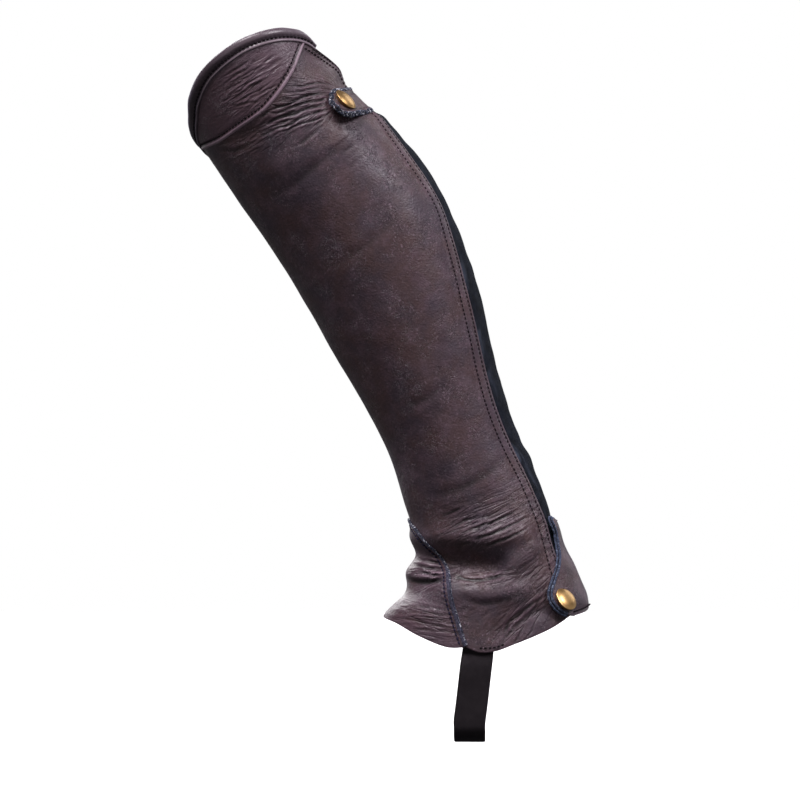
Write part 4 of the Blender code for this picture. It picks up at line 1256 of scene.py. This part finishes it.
def build_upper_tab(looks):
    """The strap across the top of the zip, with a raw edge and a round free end."""
    shares = even(34)
    places, runs = upper_tab_rows(shares)
    points = tube(places)
    left, _right, above, below = to_edges(points)
    rim = np.minimum(np.minimum(above, below), left)
    lift = 0.14 * waves(points, 7.0, 6.1) - 0.3 * furrow(rim, 3.4, 0.8) - 0.3 * step_up(rim, 0.7)
    # Random tone, with painted shade in the groove along the stitching near the rim.
    wear = 0.3 * waves(points, 5.0, 8.3) - 0.5 * furrow(rim, 2.9, 0.9)
    lift = lift + tab_lift(places[..., 1], shares[:, None], runs)
    leather_piece("upper_strap_tab", "upper_tab", skin(places, lift), looks, wear=wear)


def tab_rim(shares):
    """The outline of the upper tab's free end at shares of its length, with its lifts."""
    tab, runs = upper_tab_rows((0.0, 1.0))
    free_end = slice(1, 46)
    outline = np.vstack((tab[0, free_end][::-1], tab[1, free_end]))
    lifts = [tab_lift(tab[k, free_end, 1], k, runs[free_end]) for k in (0, 1)]
    lifts = np.concatenate((lifts[0][::-1], lifts[1]))
    along = runs_of(tube(outline))
    return trace(outline, shares), np.interp(shares * along[-1], along, lifts)


def flap_lift(from_edge, from_foot, from_top):
    """How far the lower tab's outer face lies off the leather."""
    standing = FLAP_STAND * np.clip(1 - from_foot / 34, 0, 1) ** 1.2 * np.clip(1 - from_edge / 40, 0, 1)
    return OVER - FLAP_SINK * step_up(from_top, 26.0) + standing


def lower_tab_edge(count):
    knots = np.vstack((LOWER_TAB_TOP, seen_all(LOWER_TAB_EDGE, OVER), seen(*LOWER_TAB_FOOT, OVER)))
    return trace(knots, even(count))


def build_lower_tab(looks):
    """The tall flap across the zip at the ankle."""
    rows, columns = even(100), even(84)
    near = lower_tab_edge(100)
    sewn_top = np.array((LOWER_TAB_TOP[0], SEWN_END_ANGLE))
    sewn_foot = np.array((LOWER_TAB_HEEL[0], SEWN_END_ANGLE))
    far = mix(sewn_top, sewn_foot, rows[:, None])
    top = mix(near[:1], far[:1], columns[:, None])
    bottom = trace(np.vstack((near[-1], LOWER_TAB_HEEL, far[-1])), columns)
    places = patch(top, bottom, near, far, columns, rows)
    points = tube(places)
    left, right, above, below = to_edges(points)
    lift = 0.25 * waves(points, 22.0, 5.5) + 0.1 * waves(points, 8.0, 2.5)
    lift = lift - 0.35 * furrow(below, FLAP_ROW, 0.7) - 0.3 * furrow(right, 3.0, 0.8)
    lift = lift - 0.4 * step_up(left, 0.7) - 0.4 * step_up(below, 0.7)
    lift = lift + flap_lift(left, below, above)
    # Random tone, with painted shade in the stitch groove along the foot, and paler along the free edge.
    wear = 0.35 * waves(points, 12.0, 3.3) - 0.3 * furrow(below, FLAP_ROW, 0.6)
    wear = wear + 0.3 * furrow(left, 1.4, 1.0)
    leather_piece("ankle_flap", "lower_tab", skin(places, lift), looks, wear=wear)


def build_strap(looks):
    """The elastic strap that passes under the foot."""
    spread, corner = STRAP_HALF_SPREAD, STRAP_CORNER
    breadth = np.linspace(0, STRAP_WIDTH, 22)
    held = [seen_all([(x + b, z) for b in breadth]) for x, z in STRAP_INSIDE]
    outer_rows = [skin(row, UNDER) for row in held]
    inner_rows = [skin(mirrored(row), UNDER) for row in held]

    def across_at(x, y, z):
        return np.stack((x + breadth, np.full(len(breadth), y), np.full(len(breadth), z)), -1)

    free = [across_at(x, -spread, z) for x, z in STRAP_FREE]
    for turn in np.radians((0, 22.5, 45, 67.5, 90)):
        z = STRAP_FOOT_Z + corner - corner * math.sin(turn)
        free.append(across_at(STRAP_FOOT_X, corner - spread - corner * math.cos(turn), z))
    free.append(free[-1] * (1, 1 / 3, 1))
    rows = outer_rows + free + [row * (1, -1, 1) for row in free[::-1]] + inner_rows[::-1]
    fine = smooth(np.reshape(rows, (len(rows), -1)), np.linspace(0, len(rows) - 1, 220))
    fine = fine.reshape(len(fine), -1, 3)
    left, right, above, _below = to_edges(fine)
    down, back = np.gradient(fine, axis=0), np.gradient(fine, axis=1)
    normal = unit(np.cross(down, back))
    lift = 0.1 * waves(fine, 12.0, 1.9) - 0.35 * step_up(np.minimum(left, right), 0.8)
    made = shell("under_foot_strap", fine + normal * lift[..., None], STRAP, looks["webbing"], "webbing",
                 across=left, along=above)
    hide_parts("foot_strap")


def turned_cap(name, spot, across, up, off, look):
    """A snap cap, turned about the way off the leg, on axes in millimetres."""
    profile, steps = CAP_PROFILE, 56
    turn = np.arange(steps) * 2 * math.pi / steps
    ring_radius = np.array([r for r, _h in profile[1:]])
    ring_height = np.array([h for _r, h in profile[1:]])
    ring = across * np.cos(turn)[:, None] + up * np.sin(turn)[:, None]
    verts = spot + ring[None] * ring_radius[:, None, None] + off * ring_height[:, None, None]
    verts = np.vstack((verts.reshape(-1, 3), spot + off * profile[0][1]))
    index = np.arange(len(ring_radius) * steps).reshape(-1, steps)
    index = np.concatenate((index, index[:, :1]), 1)
    faces = grid_faces(index)
    crown = len(verts) - 1
    faces += [[crown, int(index[0, k]), int(index[0, k + 1])] for k in range(steps)]
    faces.append(index[-1, :-1][::-1].tolist())
    return new_piece(name, verts, faces, look)


def build_snaps(looks):
    """The caps, each turned the way it faces in the photograph."""
    for name, node, x, z, lift, facing in SNAPS:
        place = np.array(seen(x, z, lift))
        down = skin(place + (0.05, 0)) - skin(place - (0.05, 0))
        back = skin(place + (0, 1)) - skin(place - (0, 1))
        off_leg = unit(np.cross(down, back))
        spot = skin(place) + off_leg * lift
        across = unit(np.cross(tube(place) - tube(place + (0.1, 0.0)), off_leg))
        off = unit(np.array(facing))
        up = unit(np.cross(off, across))
        cap = turned_cap(name, spot, np.cross(up, off), up, off, looks["brass"])
        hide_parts(node)


# Sewing and raw edges

def laid(places, lift):
    """A line of points on the garment with the way off it."""
    return skin(places, lift), outward(places)


def stitched_panel_row(places, right):
    """A line on the main panel at its own relief, this far from its stitched edge."""
    far = np.full(len(places), 99.0)
    lift, _shown = panel_relief(places, far, np.full(len(places), right), far, far)
    return laid(places, lift + 0.5 * step_up(runs_of(tube(places)), 16.0))


def build_sewing(lines, looks):
    shares = even(420)
    edge = edge_of_outer_leather(lines, shares)[2:-4]
    rows = []
    for at, start in zip(SEAM_ROWS, ROW_STARTS):
        row = beside(edge, -at / narrowing(tube(edge)))
        rows.append(stitched_panel_row(trace(np.vstack((seen(*start), row[9::6])), shares), at))
    crescent = trace(lines["crescent"], even(160))[3:-3]
    rows.append(laid(beside(crescent, 3.3), 0.0))
    over_strap = trace(lines["hem"], even(120))[:30]
    rows.append(laid(beside(over_strap, 2.6), 0.1))
    rows.append(laid(mirrored(beside(over_strap, 2.6)), 0.1))
    zip_edge = beside(trace(ZIP_LINE, even(300)), ZIP_OPENING / 2)[3:-3]
    for at in ZIP_ROWS:
        rows.append(laid(beside(zip_edge, at), 0.25))
    far_edge = beside(trace(ZIP_LINE, even(300)), -ZIP_OPENING / 2)[3:-3]
    rows.append(laid(beside(far_edge, -2.0), UNDER + 0.2))
    edges = (0.13, 0.87)
    tab, runs = upper_tab_rows(edges)
    for share, side in zip(edges, tab[:, -12:]):
        rows.append(laid(side, tab_lift(side[:, 1], share, runs[-12:]) + 0.05))
    rows.append(laid(mix(tab[0, -3], tab[1, -3], even(20)[:, None]), OVER + 0.05))
    sewn_corner = (LOWER_TAB_HEEL[0], SEWN_END_ANGLE)
    foot = trace(np.vstack((lower_tab_edge(240)[-1:], LOWER_TAB_HEEL, sewn_corner)), even(140))[:60]
    from_edge = runs_of(tube(foot))
    rows.append(laid(beside(foot, FLAP_ROW), flap_lift(from_edge, FLAP_ROW, 70.0) - 0.2))
    sewn_top = np.array((LOWER_TAB_TOP[0] + 0.08, SEWN_END_ANGLE - 4))
    sewn_foot = np.array((LOWER_TAB_HEEL[0] - 0.08, SEWN_END_ANGLE - 4))
    rows.append(laid(mix(sewn_top, sewn_foot, even(80)[:, None]), OVER - 0.05))
    sew("brown_sewing", rows, looks["thread"])

    rim = beside(rim_line(lines), COLLAR_STITCHES)[4:-4]
    sew("collar_sewing", [laid(rim, 0.95)], looks["thread"])

    seam = trace(lines["gusset"], even(120))[2:-2]
    front = beside(seam, -GUSSET_ROW)
    navy_rows = [laid(front, GUSSET_LIFT - 0.1), laid(mirrored(front), GUSSET_LIFT - 0.1)]
    sew("navy_sewing", navy_rows, looks["navy_thread"], GUSSET_STITCH)


def raw_strip(name, rows, look, widths, heights, seed, fuzz=0.2):
    """Raw cut edges: rounded strips with an uneven nap. Each row is a line of points with its ups."""
    half_profile = np.array((
        (-0.5, 0.0), (-0.5, 0.45), (-0.36, 0.85), (0.0, 1.0), (0.36, 0.85), (0.5, 0.45), (0.5, 0.0),
    ))
    verts, faces = [], []
    for k, ((line, ups), width, height) in enumerate(zip(rows, widths, heights)):
        nap = waves(line, 1.3, seed + k)
        slow = waves(line, 7.0, seed + 3.3 + k)
        width = np.broadcast_to(width, len(line)) * (1 + fuzz * nap + 0.12 * slow)
        height = np.broadcast_to(height, len(line)) * (1 + fuzz * nap)
        shape = half_profile[None] * np.stack((width, height), -1)[:, None]
        strip_verts, strip_faces = tapes([line], [ups], shape[:, ::-1])
        base = sum(len(v) for v in verts)
        verts.append(strip_verts)
        faces += [[base + i for i in face] for face in strip_faces]
    new_piece(name, np.concatenate(verts), faces, look)


def build_raw_edges(lines, looks):
    """The raw edges that show: the gusset's seam and round the two tabs."""
    seam = trace(lines["gusset"], even(170))[1:-1]
    low = 1 - step_up(even(len(seam)) - 0.45, 0.15)
    width = 1.1 + 1.2 * low
    middle = beside(seam, 0.6 + 0.2 * low)
    outer, inner = laid(middle, 0.7), laid(mirrored(middle)[::-1], 0.7)
    widths = (width, width[::-1])
    raw_strip("gusset_raw_edge", [outer, inner], looks["grey_edge"], widths, (1.0, 1.0), 1.0)
    border = beside(middle, width / 2 + 0.3)
    outer, inner = laid(border, 0.3), laid(mirrored(border)[::-1], 0.3)
    raw_strip("gusset_edge_border", [outer, inner], looks["navy_edge"], (0.9, 0.9), (1.1, 1.1), 4.0)

    edge = lower_tab_edge(260)[3:-14]
    runs = runs_of(tube(edge))
    lift = flap_lift(0.0, runs[-1] - runs, runs)
    over = laid(beside(edge, 0.7), lift - 0.8)
    under = laid(beside(edge, -1.0), lift - 2.2)
    raw_strip("flap_raw_edge", [over, under], looks["blue_edge"], (1.7, 1.4), (1.0, 1.2), 2.0)

    line, lift = tab_rim(even(320))
    near = laid(beside(line, 0.2), lift - 1.0)
    below = laid(beside(line, -1.0), lift - 2.2)
    raw_strip("tab_raw_edge", [near, below], looks["navy_edge"], (1.9, 1.8), (1.4, 1.4), 3.0, 0.5)


# The stage

def build_stage():
    floor_height = cad_box[0][2] - 0.25
    reach = 14.0
    corners = [(-reach, -reach, floor_height), (reach, -reach, floor_height),
               (reach, reach, floor_height), (-reach, reach, floor_height)]
    mesh = bpy.data.meshes.new("floor")
    mesh.from_pydata(corners, [], [(0, 1, 2, 3)])
    look = Look("pale_floor", Roughness=0.9)
    look.colour(look.blend(look.noise(300, 3), (0.84, 0.84, 0.84, 1.0), (0.88, 0.88, 0.88, 1.0)))
    mesh.materials.append(look.material)
    floor = bpy.data.objects.new("floor", mesh)
    floor.visible_diffuse = False
    floor.visible_glossy = False
    bpy.context.scene.collection.objects.link(floor)


def sun(name, towards, strength, softness, colour=(1.0, 1.0, 1.0)):
    """A soft distant light that comes from this direction."""
    light = bpy.data.lights.new(name, "SUN")
    light.energy = strength
    light.angle = math.radians(softness)
    light.color = colour
    lamp = bpy.data.objects.new(name, light)
    lamp.rotation_euler = Vector(towards).to_track_quat("Z", "Y").to_euler()
    bpy.context.scene.collection.objects.link(lamp)


def build_light():
    """Soft lights from the upper right and the top, lesser ones from behind, and a pale horizon."""
    sun("key", (0.80, -0.60, 0.90), 2.8, 20, (0.98, 0.94, 1.0))
    sun("top", (-0.36, -0.50, 1.25), 4.3, 24, (1.0, 0.95, 0.99))
    sun("rim", (0.9, 0.9, 0.7), 0.5, 30)
    sun("back", (-0.5, 1.0, 0.7), 2.2, 40)
    sun("fill", (-0.2, -1.0, 0.1), 0.35, 60)
    world = bpy.data.worlds.new("studio")
    bpy.context.scene.world = world
    world.use_nodes = True
    nodes, links = world.node_tree.nodes, world.node_tree.links
    place = nodes.new("ShaderNodeTexCoord").outputs["Generated"]
    split = nodes.new("ShaderNodeSeparateXYZ")
    links.new(place, split.inputs[0])
    height = nodes.new("ShaderNodeMath")
    height.operation = "ABSOLUTE"
    links.new(split.outputs["Z"], height.inputs[0])
    band = nodes.new("ShaderNodeMapRange")
    band.inputs["From Min"].default_value = 0.05
    band.inputs["From Max"].default_value = 0.08
    band.inputs["To Min"].default_value = 1.0
    band.inputs["To Max"].default_value = 0.10
    links.new(height.outputs[0], band.inputs["Value"])
    links.new(band.outputs["Result"], nodes["Background"].inputs["Strength"])
    nodes["Background"].inputs["Color"].default_value = (1.0, 1.0, 1.0, 1.0)


def build_camera():
    """At the photograph's angle: level, square to the outer side, from far off."""
    middle = (0.0238, -0.1115)
    frame_width, distance = 0.544, 6.0
    camera = bpy.data.cameras.new("camera")
    camera.sensor_width = 36.0
    camera.lens = camera.sensor_width * distance / frame_width
    camera.clip_end = 40.0
    holder = bpy.data.objects.new("camera", camera)
    holder.location = (middle[0], -distance, middle[1])
    holder.rotation_euler = (math.pi / 2, 0.0, 0.0)
    bpy.context.scene.collection.objects.link(holder)
    bpy.context.scene.camera = holder
    bpy.context.scene.view_settings.view_transform = "Standard"


def build_looks():
    """The materials, with colours as they show on a screen."""
    return {
        "leather": leather_look(
            "brown_leather_skin", linear(20, 12, 14), linear(60, 40, 42), linear(50, 38, 48),
            linear(78, 59, 69), linear(122, 102, 114), 0.12, 0.46,
        ),
        "collar": leather_look(
            "dark_collar_leather", linear(10, 6, 8), linear(44, 32, 36), linear(38, 31, 38),
            linear(66, 54, 61), linear(112, 98, 106), 0.04, 0.38, 0.30,
        ),
        "flesh": flesh_look(),
        "grey_edge": raw_edge_look(
            "grey_raw_edge", linear(20, 18, 28), linear(64, 60, 75), linear(112, 108, 124), 0.07,
        ),
        "blue_edge": raw_edge_look(
            "blue_raw_edge", linear(16, 20, 32), linear(58, 66, 86), linear(128, 138, 158), 0.6,
        ),
        "navy_edge": raw_edge_look(
            "navy_raw_edge", linear(8, 9, 15), linear(30, 32, 45), linear(190, 190, 198), 0.9,
        ),
        "elastic": elastic_look(),
        "webbing": woven_look("black_webbing_weave", linear(12, 7, 11), linear(23, 16, 21), 1.1, 0.04),
        "tape": woven_look("black_tape_weave", linear(15, 15, 18), linear(34, 34, 39), 0.9, 0.08),
        "thread": thread_look("dark_thread", linear(8, 4, 7), linear(22, 14, 20)),
        "navy_thread": thread_look("navy_thread", linear(12, 10, 26), linear(34, 30, 56)),
        "teeth": plastic_look("black_moulded_teeth", linear(20, 20, 22), linear(48, 48, 52)),
        "brass": metal_look(
            "worn_brass_caps", linear(112, 74, 34), linear(184, 148, 98), linear(226, 202, 158), 0.34,
        ),
        "zip_metal": metal_look(
            "worn_brass_slider", linear(96, 74, 44), linear(176, 146, 96), linear(224, 202, 160), 0.26,
        ),
    }


def build_half_chap():
    looks = build_looks()
    lines = seam_lines()
    build_panel(lines, looks)
    build_insert(lines, looks)
    build_collar(lines, looks)
    build_gusset(lines, looks)
    build_elastic(lines, looks)
    build_zip(looks)
    build_upper_tab(looks)
    build_lower_tab(looks)
    build_strap(looks)
    build_snaps(looks)
    build_sewing(lines, looks)
    build_raw_edges(lines, looks)
    for node in ("zip_slider", "zip_pull"):
        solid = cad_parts[node]
        solid.data.materials.clear()
        solid.data.materials.append(looks["zip_metal"])


build_half_chap()
build_stage()
build_light()
build_camera()
